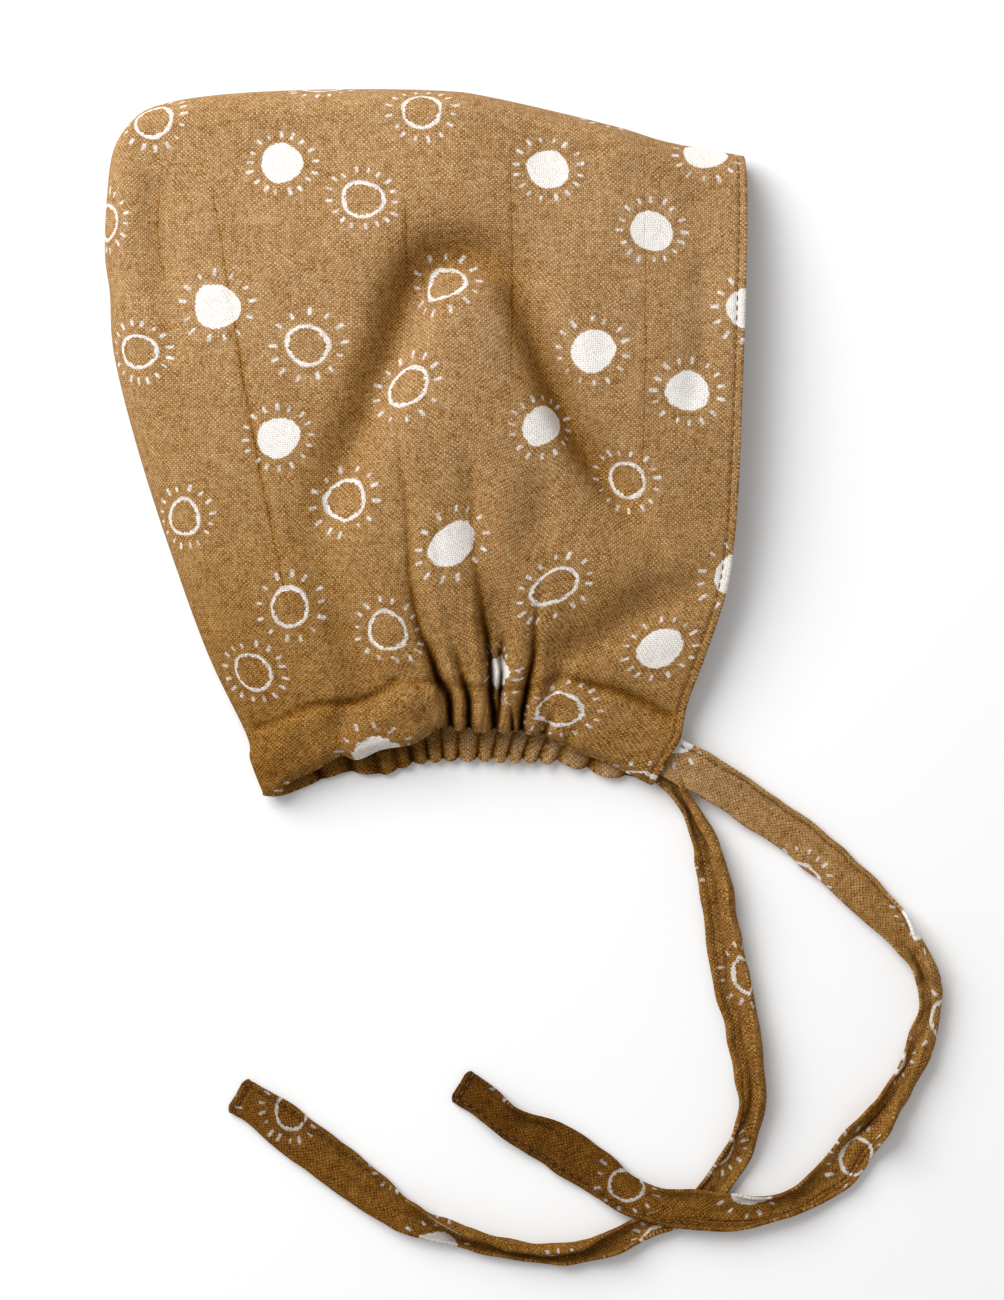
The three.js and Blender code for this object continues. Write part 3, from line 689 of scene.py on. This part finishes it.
# Folds are rows of x, y, width and rise, and a rise under 0 is a hollow. A fifth number in a
# row widens the side to the left of the path.
softFolds = {
    "hollow round the fullness": [
        (-30, -27, 7, -1.2), (-25.6, -16, 6.8, -3.1, 1.1), (-19.8, -4, 6.4, -5.2, 1.2),
        (-12.8, 12, 5.8, -6.6, 1.35), (-7.2, 25, 5.2, -7.9, 1.5), (-4, 35, 5.2, -8.8, 1.5),
        (0, 44, 5.4, -9, 1.5), (7, 49, 5.8, -8.2, 1.5), (16, 49.5, 6, -7, 1.5), (24, 46, 6.2, -6, 1.3),
        (29.5, 37, 7, -5.6, 0.9), (33.5, 27, 7.5, -6, 0.7), (39, 14, 7.5, -7, 0.65),
        (46.5, 0, 7.5, -6.4, 0.65), (56, -13, 7.5, -4.6, 0.75), (65, -25, 7, -1.8),
    ],
    "line in the hollow's front branch": [
        (22, 46, 3, -0.6), (29, 34, 3, -1.8), (34, 20, 3.2, -2.6), (41, 4, 3.2, -3),
        (47.5, -7, 3.2, -2.8), (54, -16, 3.2, -1.8), (60, -24, 3, -0.6),
    ],
    "hollow over the narrow gather": [
        (21.7, -61, 2.4, -3.5), (20.9, -55.5, 3.2, -4.2), (19.8, -49, 3.8, -3.4), (18, -40, 4.4, -1.8),
        (17, -30, 5, -0.6),
    ],
    "hollow inside the short gather": [
        (34.7, -72.7, 1.5, -1.8), (35.7, -70.3, 1.7, -3), (38.1, -65.9, 1.9, -1.8),
    ],
    "lip of the tuck": [
        (11, -78, 3, 1.2), (8.4, -66, 3, 1.4), (4.5, -52, 3, 1.3), (1.4, -36, 3.5, 1), (-1, -4, 4, 0.5),
    ],
    "ridge behind the tuck": [
        (-4, -74, 4.5, 1.5), (-8, -62, 5, 2), (-11, -46, 6, 1.6), (-15, -30, 7, 0.8),
    ],
    "hollow behind that": [
        (-15, -72, 4, -1.4), (-21, -58, 5, -2), (-27, -42, 6, -1.8), (-30, -26, 7, -0.8),
    ],
    "hollow above the front corner": [
        (38.7, -60.4, 5, -2.4), (50, -56, 6, -3), (61.6, -47.6, 6, -2.8), (75.9, -41.9, 6, -1.5),
    ],
    "pucker in the casing": [(-24, -81, 3.5, -2.4), (-22, -76, 3.5, -1.5)],
    "hollow down the back": [(-75.6, 69.6, 4, -2.2), (-73.3, 49.6, 4, -1.8), (-69.9, 26.7, 4, -1.2)],
    "hollow behind the front edge": [(78.7, 46.7, 4, -1.4), (78.9, 29.6, 4, -1.2), (75.9, 12.4, 4, -1)],
    "dip in the fullness": [
        (12, 0, 5, -0.6), (13.5, -12, 5.5, -2.5), (14.5, -26, 5.5, -2.4), (15, -36, 5, -0.7),
    ],
    "dip beside it": [(31, -8, 5, -0.6), (33, -20, 5.5, -2.1), (33, -32, 5, -0.6)],
    "swell of the fullness": [
        (12, 33, 13, 1.4), (14, 12, 14, 1.6), (16, -14, 14, 1.2), (16, -34, 12, 0.6),
    ],
}
creases = {
    "tuck": [
        (7.4, -86, 2.2, -7), (7.6, -80.1, 2.4, -7.5), (7.1, -72.1, 2.8, -8), (4.4, -67.8, 3, -7),
        (1.6, -59.4, 3, -4.6), (-1.1, -53.1, 2.8, -3), (-3.6, -40.1, 2.4, -2), (-4.2, -32.4, 2.2, -1.6),
        (-4.6, -18.7, 2, -1.3), (-6.1, -9.9, 1.8, -0.9), (-6.8, -1.9, 1.6, -0.4),
    ],
    "gather beside the tuck": [
        (12.7, -87, 2.2, -7), (12.7, -81.4, 2.2, -7), (12.7, -74, 2.3, -6.5), (11.8, -69.6, 2.4, -5),
        (10.6, -65.3, 2.6, -3), (8.7, -58, 3, -0.6),
    ],
    "long gather": [
        (20.1, -87, 2.2, -7.5), (19.9, -78.3, 2.3, -8), (19.2, -72.1, 2.3, -8), (18.9, -64.4, 2.4, -7.5),
        (18.3, -58.1, 2.5, -5.5), (17.1, -51, 2.6, -3.6), (16.4, -46, 2.8, -2.4), (15.2, -38, 3, -1.5),
        (13.9, -26, 3, -0.9), (13.9, -7.6, 3, -0.4),
    ],
    "narrow gather": [
        (20.8, -80, 1.4, -2.5), (21.4, -75.2, 1.5, -4.5), (21.7, -70.1, 1.6, -6), (22, -65.3, 1.7, -6),
        (21.7, -61, 1.9, -4.5), (22.4, -55, 2.4, -1.2),
    ],
    "nick at the hem": [
        (25, -87, 1.4, -5), (25, -81.7, 1.4, -5), (24.8, -77.3, 1.3, -3), (24.7, -75, 1.2, -0.6),
    ],
    "wide gather": [
        (27.6, -87, 2.2, -7), (27.6, -81.7, 2.2, -7), (27.9, -76.7, 2.3, -7), (28.8, -72.1, 2.3, -6.5),
        (29.5, -67.8, 2.4, -5.5), (31, -60.7, 2.5, -3.8), (31.3, -53.6, 2.6, -2.2),
        (32.4, -44, 2.6, -0.6),
    ],
    "short gather": [
        (33.4, -88, 2.1, -5.5), (33.8, -82.5, 2.1, -5), (35.4, -79.5, 2, -2.5), (36.8, -76.5, 1.8, -0.8),
    ],
    "last gather": [(39.5, -89, 2, -2.6), (40.6, -84.6, 2, -1.8), (43.5, -80.5, 2, -0.4)],
}
# the lines of stitching along the top of the casing
seamLines = {
    "casing line in front": [
        (39, -66.4, 1.4, -1), (46, -68.4, 1.7, -2.2), (57, -71.3, 1.8, -2.4), (69.6, -77.9, 1.7, -2),
    ],
    "casing line over the gathers": [
        (-8.1, -67.6, 1.1, -0.8), (3, -68, 1.1, -1), (15, -69.6, 1.1, -1.2), (28, -70, 1.1, -1),
        (38, -67, 1.1, -0.8),
    ],
    "casing line behind": [
        (-48, -81, 1.4, -1.2), (-40.4, -78.1, 1.4, -1.5), (-31, -74.4, 1.4, -1.7),
        (-18.4, -73.4, 1.5, -2.2), (-8.1, -67.6, 1.5, -1.6),
    ],
}
# creases that ironing left, hardly deep
ironed = {
    "long one at the back": [
        (-58.7, 68.4, 0.8, -0.1), (-51.6, 24.4, 0.8, -0.45), (-45.9, -8.4, 0.8, -0.45),
        (-38.7, -43.9, 0.8, -0.05),
    ],
    "one over the fullness": [(24.4, 81, 0.8, -0.05), (25, 40, 0.8, -0.3), (24.4, 12, 0.8, -0.05)],
    "one near the front": [(62, 80, 0.8, -0.02), (62.4, 30, 0.8, -0.12), (61, -12, 0.8, -0.02)],
    "short one beside the hollow": [(-4.9, 66, 0.7, -0.05), (-4.6, 60, 0.7, -0.4), (-4.5, 50, 0.7, -0.1)],
    "one near the back seam": [(-74.1, 72.4, 0.8, -0.05), (-75, 60, 0.8, -0.3), (-73.3, 46, 0.8, -0.05)],
}
fineFolds = {
    "fan": 0.9,  # height of the small folds that fan out from the gathers
    "fanReach": 0.55,
    "fanPlace": (0.55, 0.26),  # their middle along the hem, and how wide they spread
    "fanRipples": ((42, 5), (90, 9)),  # how many the whole cloth has across and up it
    "puffs": ((0.35, 0.55), (1.8, 0.9)),  # height of the casing's puff behind and in front
    "puffRipples": (16, 30),
    "casing": 0.1,  # its height as a share of the cloth
    "drift": 1.1,  # long shallow waves
    "driftRipples": (0.045, 0.03),  # to a millimetre
    "crumple": 0.28,
    "crumpleRipples": (0.16, 0.1),
    "edgeRoll": 2.2,  # how far the hem rolls down at its very edge
    "edgeReach": 0.013,
}
# painted shade: how much darker the cloth is painted in a hollow, along an ironed crease, a seam
# and the hem's stitches, and deep in a crease
shades = {"hollow": 0.32, "ironed": 0.35, "seam": 0.14, "hemStitch": 0.12, "crease": 0.7}


class EdgeLine:
    # an edge of a panel, read by the share of its length
    def __init__(self, points):
        self.points = np.array(points, float)
        self.t = np.linspace(0, 1, 201)
        self.run = runAlong(splineAt(self.points, self.t))
        self.length = self.run[-1]

    def at(self, share):
        return splineAt(self.points, np.interp(np.asarray(share) * self.length, self.run, self.t))


backSeam, topSeam, frontEdge = (EdgeLine(outline[key]) for key in ("backSeam", "topSeam", "frontEdge"))
rightHem = EdgeLine(rightPanel["hem"])


def clothPlace(hem, u, v):
    # u runs from the back seam to the front edge, v from the hem to the top seam
    u, v = np.broadcast_arrays(u, v)
    hemPlace = hem.at(np.interp(u, outline["gatherCloth"], outline["gatherHem"]))
    u, v = u[..., None], v[..., None]
    place = (1 - v) * hemPlace + v * topSeam.at(u[..., 0])
    place += (1 - u) * backSeam.at(v[..., 0]) + u * frontEdge.at(v[..., 0])
    place = place - (1 - u) * (1 - v) * backSeam.at(0) - u * (1 - v) * frontEdge.at(0)
    return place - (1 - u) * v * topSeam.at(0) - u * v * topSeam.at(1)


def seamedPlace(panel, hem, u, v, inside):
    # where a place of the cloth lies as seen from above, how far it has risen from the seams, from
    # 0 to 1, and the cloth's thickness on it. At the seams the inner face turns inside the outer one.
    back = u * (hem.length + (topSeam.length - hem.length) * v)
    top = (1 - v) * frontEdge.length
    thickness = outline["clothThickness"] if inside else 0
    insetBack, insetTop = (thickness * np.maximum(0, 1 - far / panel["roll"]) for far in (back, top))
    place = clothPlace(hem, u + insetBack / topSeam.length, v - insetTop / frontEdge.length)
    risen = quarterRound(back, panel["roll"]) * quarterRound(top, panel["roll"])
    return place[..., 0], place[..., 1], risen, thickness


def alongFold(rows, x, y):
    # each place's distance from the fold's path, whether it lies on the left, and the path's row there
    line = splineAt([(*row, 1.0)[:5] for row in rows], np.linspace(0, 1, 4 * len(rows)))
    off, along, left = np.full(x.shape, np.inf), np.zeros(x.shape), np.zeros(x.shape, bool)
    for i, (start, end) in enumerate(zip(line[:, :2], line[1:, :2])):
        step, dx, dy = end - start, x - start[0], y - start[1]
        share = np.clip((dx * step[0] + dy * step[1]) / (step @ step), 0, 1)
        gap = np.hypot(dx - share * step[0], dy - share * step[1])
        near = gap < off
        off, along = np.where(near, gap, off), np.where(near, i + share, along)
        left = np.where(near, step[0] * dy > step[1] * dx, left)
    return off, left, *(np.interp(along, np.arange(len(line)), line[:, k]) for k in (2, 3, 4))


def foldsRise(folds, x, y, profile):
    total = np.zeros(x.shape)
    for rows in folds.values():
        off, left, width, rise, lean = alongFold(rows, x, y)
        total += rise * profile(off / (width * np.where(left, lean, 1)))
    return total


def crownHeight(u, v):
    levels, *columns = (rightPanel[key] for key in ("level", "back", "crest", "front"))
    rows = np.interp(v, levels, np.linspace(0, 1, len(levels)))
    back, crest, front = np.moveaxis(splineAt(np.transpose(columns), rows), -1, 0)
    place = rightPanel["crestPlace"]
    edge = np.where(u < place, back, front)
    span = np.where(u < place, place, 1 - place)
    return edge + (crest - edge) * np.cos(math.pi / 2 * np.abs(u - place) / span)


def gridLines(length, panel, key):
    # shares of a length from 0 to 1, closer together over the roll at a seam, so that it is round;
    # after it each stretch of the table has its end and its number of even steps
    near = panel["roll"] / length * (1 - np.cos(np.linspace(0, math.pi / 2, panel["rollSteps"] + 1)))
    lines = [0.0]
    for to, count in panel[key]:
        lines += list(lines[-1] + (to - lines[-1]) * np.arange(1, count + 1) / count)
    lines = np.array(lines)
    return np.concatenate([near, lines[lines > near[-1] + 0.002]])


def panelGrid(panel):
    # the shares u and v of the lines of a panel's grid
    down = gridLines(frontEdge.length, panel, "down")
    return gridLines(topSeam.length, panel, "across"), 1 - down[::-1]


def fromEdgeSeam(u):
    # how far a place is from the stitching along the front edge
    return (1 - u) * topSeam.length - rightPanel["edgeSeamInset"]


def rightFace(u, v, inside):
    x, y, risen, thickness = seamedPlace(rightPanel, rightHem, u, v, inside)
    crease = foldsRise(creases, x, y, crevice)
    height = crownHeight(u, v) + foldsRise(softFolds, x, y, soft) + crease
    height += foldsRise(ironed, x, y, sharp) + foldsRise(seamLines, x, y, sharp)
    height -= rightPanel["edgeSeam"] * soft(fromEdgeSeam(u) / 0.5)
    middle, spread = fineFolds["fanPlace"]
    fan = np.clip(1 - v / fineFolds["fanReach"], 0, 1) ** 1.5 * soft((u - middle) / spread)
    wide, narrow = fineFolds["fanRipples"]
    fan = fan * (ripples(wide, u, v, 3.0) + 0.4 * ripples(narrow, u, v, 8.0))
    height += fineFolds["fan"] * fan
    height += fineFolds["drift"] * ripples(fineFolds["driftRipples"], x, y, 5.0)
    height += fineFolds["crumple"] * ripples(fineFolds["crumpleRipples"], x, y, 7.0)
    puff = np.interp(u, *fineFolds["puffs"]) * (1 + 0.6 * ripples(fineFolds["puffRipples"], u, v, 6.0))
    casing = np.clip(v / fineFolds["casing"], 0, 1)
    height += puff * np.sin(math.pi * casing) ** 0.7
    lowest, ease = rightPanel["lowest"]
    height = lowest + ease * np.logaddexp(0, (height - lowest) / ease)
    height -= fineFolds["edgeRoll"] * np.maximum(0, 1 - v / fineFolds["edgeReach"]) ** 2.5
    draw = rightPanel["hemDraw"] * np.maximum(0, 1 - v / rightPanel["hemReach"]) * -crease
    seam = outline["seamHeight"] + outline["seamGap"]
    return np.stack([x, y + draw, seam + (height - thickness - seam) * risen], -1)


def closedSheet(upper, lower):
    # the two faces of a cloth and its rim, which stands out by outline's rimBulge
    rows, columns = upper.shape[:2]
    index = np.arange(rows * columns).reshape(rows, columns)
    sides = [index[0, :-1], index[:-1, -1], index[-1, :0:-1], index[:0:-1, 0]]
    walk = np.concatenate(sides)
    stand = np.repeat(outline["rimBulge"], [len(side) for side in sides])
    top, bottom = upper.reshape(-1, 3), lower.reshape(-1, 3)
    middle, half = (top[walk] + bottom[walk]) / 2, (top[walk] - bottom[walk]) / 2
    ahead = np.roll(middle, -1, 0) - np.roll(middle, 1, 0)
    out = unit(np.stack([ahead[:, 1], -ahead[:, 0], np.zeros(len(walk))], 1))
    out = unit(out + np.roll(out, 1, 0) + np.roll(out, -1, 0))
    rings = []
    for angle in (0.25 * math.pi, 0.5 * math.pi, 0.75 * math.pi):
        rings.append(middle + half * math.cos(angle) + out * (stand * math.sin(angle))[:, None])
    points = np.concatenate([top, bottom, *rings])
    added = 2 * len(top) + np.arange(3 * len(walk)).reshape(3, -1)
    loops = [walk, *added, len(top) + walk]
    faces = [gridFaces(rows, columns), gridFaces(rows, columns, first=len(top))[:, ::-1]]
    for above, below in zip(loops, loops[1:]):
        faces.append(np.stack([below, np.roll(below, -1), np.roll(above, -1), above], 1))
    return points, faces, walk


def onSheet(values, walk):
    # values of one face's points, for both faces and the rim's three rings
    return np.concatenate([values, values, *[values[walk]] * 3])


def makePanel(panel, upper, lower, cloth, upperFinish):
    # cloth has the places of the upper face; its rim is of the same finish
    points, faces, walk = closedSheet(upper, lower)
    counts = [len(faces[0]), len(faces[1]), sum(map(len, faces[2:]))]
    panel["piece"] = addPiece(
        panel["name"],
        points,
        np.concatenate(faces).tolist(),
        onSheet(cloth.reshape(-1, 3), walk),
        [printedMuslin, plainMuslin],
        np.repeat([upperFinish, 1 - upperFinish, upperFinish], counts),
    )
    print(f"panel: {panel['name']}, {sum(counts)} faces")
    return walk


def clothSpread(surface, bunching, left, right, straight):
    # each point's place in the cloth as it was cut, from a row of points that lies straight.
    # Cloth that a row doesn't show is in the creases, so the print is cut where they close.
    steps = np.linalg.norm(np.diff(surface, axis=1), axis=2)
    tight = (bunching[:, 1:] + bunching[:, :-1]) / 2 * steps
    weight = tight.sum(1)
    extra = np.clip(right - left - steps.sum(1), 0, weight * 1.2)
    steps += tight * (extra / np.maximum(weight, 1e-6))[:, None]
    steps *= ((right - left) / steps.sum(1))[:, None]
    s = left[:, None] + np.pad(np.cumsum(steps, 1), ((0, 0), (1, 0)))
    rises = np.linalg.norm(np.diff(surface, axis=0), axis=2)
    t = np.pad(np.cumsum(rises, 0), ((1, 0), (0, 0)))
    t = t - t[straight] + surface[straight, :, 1]
    return np.stack([s, t, np.zeros_like(s)], -1)


# painted shade of the right panel: darker towards the lower back, in hollows, deep in creases, along
# ironed creases and seams, and at the front edge's stitching
def foldShade(u, x, y):
    heights, levels = rightPanel["lowShade"]
    low = np.interp(y, heights, levels) * np.interp(x, *rightPanel["backShade"])
    aside, above = rightPanel["shadeFrom"]
    hollows = np.clip(-foldsRise(softFolds, x + aside, y - above, soft) / 9, 0, 1) ** 1.3
    deep = np.clip(-foldsRise(creases, x, y, lambda t: soft(t * 2.4)) / 6, 0, 1)
    shade = low + hollows * shades["hollow"] + deep * shades["crease"]
    shade = shade - foldsRise(ironed, x, y, lambda t: soft(t / 1.6)) * shades["ironed"]
    shade = shade - foldsRise(seamLines, x, y, lambda t: soft(t / 0.8)) * shades["seam"]
    return np.clip(shade + shades["hemStitch"] * soft(fromEdgeSeam(u) / 0.45), 0, 0.92)


def pressedPlace(x, y):
    # millimetres across the nearest crease that ironing left, counted from ironedFrom on its
    # middle. A faint crease is kept a little off its middle, so that it is drawn thin.
    nearest = np.full(x.shape, 5.0)
    for rows in ironed.values():
        off, left, _, rise, _ = alongFold(rows, x, y)
        away = off + np.clip(0.55 + rise * 1.1, 0, 0.55)
        nearest = np.where(away < np.abs(nearest), np.where(left, -away, away), nearest)
    return muslin["ironedFrom"] + nearest


def makeRightPanel():
    us, vs = panelGrid(rightPanel)
    u, v = np.meshgrid(us, vs)
    upper = rightFace(u, v, False)
    x, y = upper[..., 0], upper[..., 1]
    bunching = np.clip(-foldsRise(creases, x, y, lambda t: sharp(t * 3)), 0, None) * (1 - v)
    straight = np.argmin(np.abs(vs - rightPanel["straightRow"]))
    cloth = clothSpread(upper, bunching, backSeam.at(vs)[:, 0], rightPanel["clothFront"], straight)
    cloth[..., 2] = foldShade(u, x, y)
    walk = makePanel(rightPanel, upper, rightFace(u, v, True), cloth, 0)
    pressed = rightPanel["piece"].data.attributes.new("pressed", "FLOAT", "POINT")
    pressed.data.foreach_set("value", onSheet(pressedPlace(x, y).ravel(), walk))
    rightPanel["grid"] = us, upper


leftPanel = {
    "name": "leftPanelCloth",
    "node": "left_side_panel",
    "hem": [
        (-45.9, -99.9), (-40.4, -99.9), (-28.1, -95), (-21.9, -93.3), (-12.1, -93.9), (-3.3, -91),
        (6.4, -89.8), (19.6, -89.8), (38.7, -90.6), (44.1, -92.3), (56.4, -95.3), (64.6, -96.9),
    ],
    "roll": 5.0,
    "rollSteps": 6,
    "across": [(0.27, 22), (0.82, 130), (1, 16)],
    "down": [(0.8, 30), (0.98, 24), (1, 5)],
    # where the slits between the ruffles meet the hem, and how full the ruffle after each is
    "slits": [-30, -21, -13.5, -8, -3.6, 1, 5.3, 9.6, 15.2, 19.5, 23.8, 28, 32.7, 37.3, 46.5, 57],
    "full": [0.3, 0.4, 0.5, 0.65, 0.65, 0.75, 0.7, 0.85, 0.8, 1.15, 1.2, 0.85, 1.15, 0.8, 0.7],
    "ruffleRise": 2.6,
    "ruffleReach": 0.16,
    "notch": 2.0,
    "swell": 0.35,  # against the notch, how far a ruffle stands out between the slits
    "slitShade": (0.75, 0.08),  # and how far up it reaches
    "lipShade": ((-46, -40, -4, 9, 30), (0.1, 0.42, 0.38, 0.08, 0)),  # by x
    "clothBack": 260,  # its print runs the other way, back from here
}
leftHem = EdgeLine(leftPanel["hem"])


def ruffle(u):
    # 0 in a slit, 1 on top of a ruffle, and how full that ruffle is
    sampled = np.linspace(0, 1, 400)
    slits = np.interp(leftPanel["slits"], clothPlace(leftHem, sampled, 0.0)[:, 0], sampled)
    which = np.clip(np.searchsorted(slits, u) - 1, 0, len(slits) - 2)
    share = np.clip((u - slits[which]) / (slits[which + 1] - slits[which]), 0, 1)
    return np.sin(math.pi * share), np.array(leftPanel["full"])[which]


def leftFace(u, v, inside):
    x, y, risen, thickness = seamedPlace(leftPanel, leftHem, u, v, inside)
    tube, full = ruffle(u)
    full = full * np.clip(1 - v / leftPanel["ruffleReach"], 0, 1) ** 2
    draw = (1 - tube**0.5) * (tube > 0) - leftPanel["swell"] * tube
    seam = outline["seamHeight"] - outline["seamGap"] - thickness
    z = leftPanel["ruffleRise"] * full * tube**0.6 + thickness + seam * (1 - risen)
    return np.stack([x, y + leftPanel["notch"] * full * draw, z], -1)


def makeLeftPanel():
    u, v = np.meshgrid(*panelGrid(leftPanel))
    x, y = np.moveaxis(clothPlace(leftHem, u, v), -1, 0)
    # painted shade: darker in the slits between the ruffles, and under the lip of the panel above
    darkest, reach = leftPanel["slitShade"]
    tube, _ = ruffle(u)
    shade = darkest * (1 - tube) ** 2 * np.clip(1 - v / reach, 0, 1) * (tube > 0)
    shade = np.clip(shade + np.interp(x, *leftPanel["lipShade"]), 0, 0.9)
    cloth = np.stack([leftPanel["clothBack"] - x, y, shade], -1)
    makePanel(leftPanel, leftFace(u, v, True), leftFace(u, v, False), cloth, 1)


makeRightPanel()
makeLeftPanel()


# Stitches are short threads at even steps along a path.
stitching = {
    "Pitch": 2.7 * mm,
    "Length": 1.9 * mm,
    "Thread": 0.42 * mm,
    "Uneven": 0.2,
    "Seed": 4,
}


class Steps(Nodes):
    # a Geometry Nodes tree and its inputs
    def __init__(self, name, inputs):
        self.tree = bpy.data.node_groups.new(name, "GeometryNodeTree")
        addSocket = self.tree.interface.new_socket
        addSocket("Geometry", in_out="OUTPUT", socket_type="NodeSocketGeometry")
        self.names = {}
        for label, kind in inputs.items():
            socket = addSocket(label, in_out="INPUT", socket_type=f"NodeSocket{kind}")
            self.names[label] = socket.identifier
        self.inputs = self.tree.nodes.new("NodeGroupInput")

    def given(self, label):
        return self.inputs.outputs[label]

    def maths(self, operation, first, other):
        return self.take("ShaderNodeMath", {0: first, 1: other}, operation=operation)


def makeStitchSteps():
    kinds = {"Geometry": "Geometry", **dict.fromkeys(stitching, "Float"), "Seed": "Int"}
    g = Steps("stitchRun", {**kinds, "Finish": "Material"})
    curve = g.take("GeometryNodeMeshToCurve", {0: g.given("Geometry")})
    even = {"Curve": curve, "Length": g.given("Pitch")}
    places = g.node("GeometryNodeCurveToPoints", even, mode="LENGTH")
    ahead = {"Vector": places.outputs["Tangent"]}
    turn = g.take("FunctionNodeAlignRotationToVector", ahead, axis="X")
    spread = {
        "Seed": g.given("Seed"),
        2: g.maths("SUBTRACT", 1.0, g.given("Uneven")),
        3: g.maths("ADD", 1.0, g.given("Uneven")),
    }
    luck = g.take("FunctionNodeRandomValue", spread, 1, data_type="FLOAT")
    size = g.take("ShaderNodeCombineXYZ", {0: luck, 1: 1.0, 2: 1.0})
    ball = g.take("GeometryNodeMeshUVSphere", {"Segments": 8, "Rings": 5, "Radius": 1.0})
    half, thick = (g.maths("MULTIPLY", g.given(label), 0.5) for label in ("Length", "Thread"))
    shape = g.take("ShaderNodeCombineXYZ", {0: half, 1: thick, 2: thick})
    stitch = g.take("GeometryNodeTransform", {"Geometry": ball, "Scale": shape})
    laid = {"Points": places.outputs[0], "Instance": stitch, "Rotation": turn, "Scale": size}
    row = g.take("GeometryNodeInstanceOnPoints", laid)
    real = g.take("GeometryNodeRealizeInstances", {0: row})
    smooth = g.take("GeometryNodeSetShadeSmooth", {0: real})
    done = g.take("GeometryNodeSetMaterial", {0: smooth, "Material": g.given("Finish")})
    g.node("NodeGroupOutput", {0: done})
    return g


stitchSteps = makeStitchSteps()


def makeStitches(name, paths):
    # paths in millimetres
    edges, first = [], 0
    for path in paths:
        edges += [(first + k, first + k + 1) for k in range(len(path) - 1)]
        first += len(path)
    piece, _ = addMesh(name, (np.concatenate(paths) * mm).tolist(), edges, [])
    modifier = piece.modifiers.new("stitches", "NODES")
    modifier.node_group = stitchSteps.tree
    for label, value in {**stitching, "Finish": cottonThread}.items():
        modifier[stitchSteps.names[label]] = value
    ready = piece.evaluated_get(bpy.context.evaluated_depsgraph_get())
    made = bpy.data.meshes.new_from_object(ready)
    piece.modifiers.clear()
    piece.data = made
    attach(piece, "root")
    print(f"stitches: {name}, {len(made.polygons)} faces")
    return piece


def onCloth(panel, path):
    # points of a path seen from above, dropped on the panel and sunk into it a little
    tree = BVHTree.FromObject(panel["piece"], bpy.context.evaluated_depsgraph_get())
    dropped = []
    for x, y in splineAt(path, np.linspace(0, 1, 160)):
        hit = tree.ray_cast(Vector((x * mm, y * mm, 0.2)), Vector((0, 0, -1)))[0]
        if hit is not None:
            dropped.append(np.array(hit) / mm - (0, 0, panel["stitchSink"]))
    return np.array(dropped)


def panelStitches():
    us, upper = rightPanel["grid"]
    seamAt = 1 - rightPanel["edgeSeamInset"] / topSeam.length
    front = [[np.interp(seamAt, us, row[:, k]) for k in range(3)] for row in upper[2:-4]]
    paths = [np.array(front)]
    for name in ("casing line behind", "casing line in front"):
        paths.append(onCloth(rightPanel, [row[:2] for row in seamLines[name]]))
    return paths


panelThreads = makeStitches("panelStitches", panelStitches())
for tie, name in ((rightTie, "rightTieStitches"), (leftTie, "leftTieStitches")):
    threads = makeStitches(name, tie["stitchPaths"])

for panel in (rightPanel, leftPanel):
    dress(panel)


# A pale floor, and soft light that is strongest from the upper left. Lengths are in metres.
studio = {
    "floor": (0.96, 0.96, 0.96, 1.0),
    "floorRoughness": 0.9,
    "floorReach": 3.0,
    "floorDrop": 0.0004,
    "fill": 0.46,
    "keyPower": 26.0,
    "keyFrom": (-0.76, 0.74, 0.94),
    "keySize": 1.2,
}


def addStudio():
    reach, drop = studio["floorReach"], studio["floorDrop"]
    corners = [(x * reach, y * reach, -drop) for x, y in ((-1, -1), (1, -1), (1, 1), (-1, 1))]
    floor, mesh = addMesh("floor", corners, [], [(0, 1, 2, 3)])
    pale = {"Base Color": studio["floor"], "Roughness": studio["floorRoughness"]}
    mesh.materials.append(Finish("paleFloor").finished(pale))
    world = bpy.data.worlds.new("studio")
    scene.world = world
    world.use_nodes = True
    background = world.node_tree.nodes["Background"]
    background.inputs["Color"].default_value = (1, 1, 1, 1)
    background.inputs["Strength"].default_value = studio["fill"]
    data = bpy.data.lights.new("key", "AREA")
    data.energy, data.size = studio["keyPower"], studio["keySize"]
    key = addObject("key", data)
    key.location = studio["keyFrom"]
    key.rotation_euler = (-Vector(studio["keyFrom"])).to_track_quat("-Z", "Y").to_euler()


addStudio()
print("studio: pale floor, soft light from the upper left")
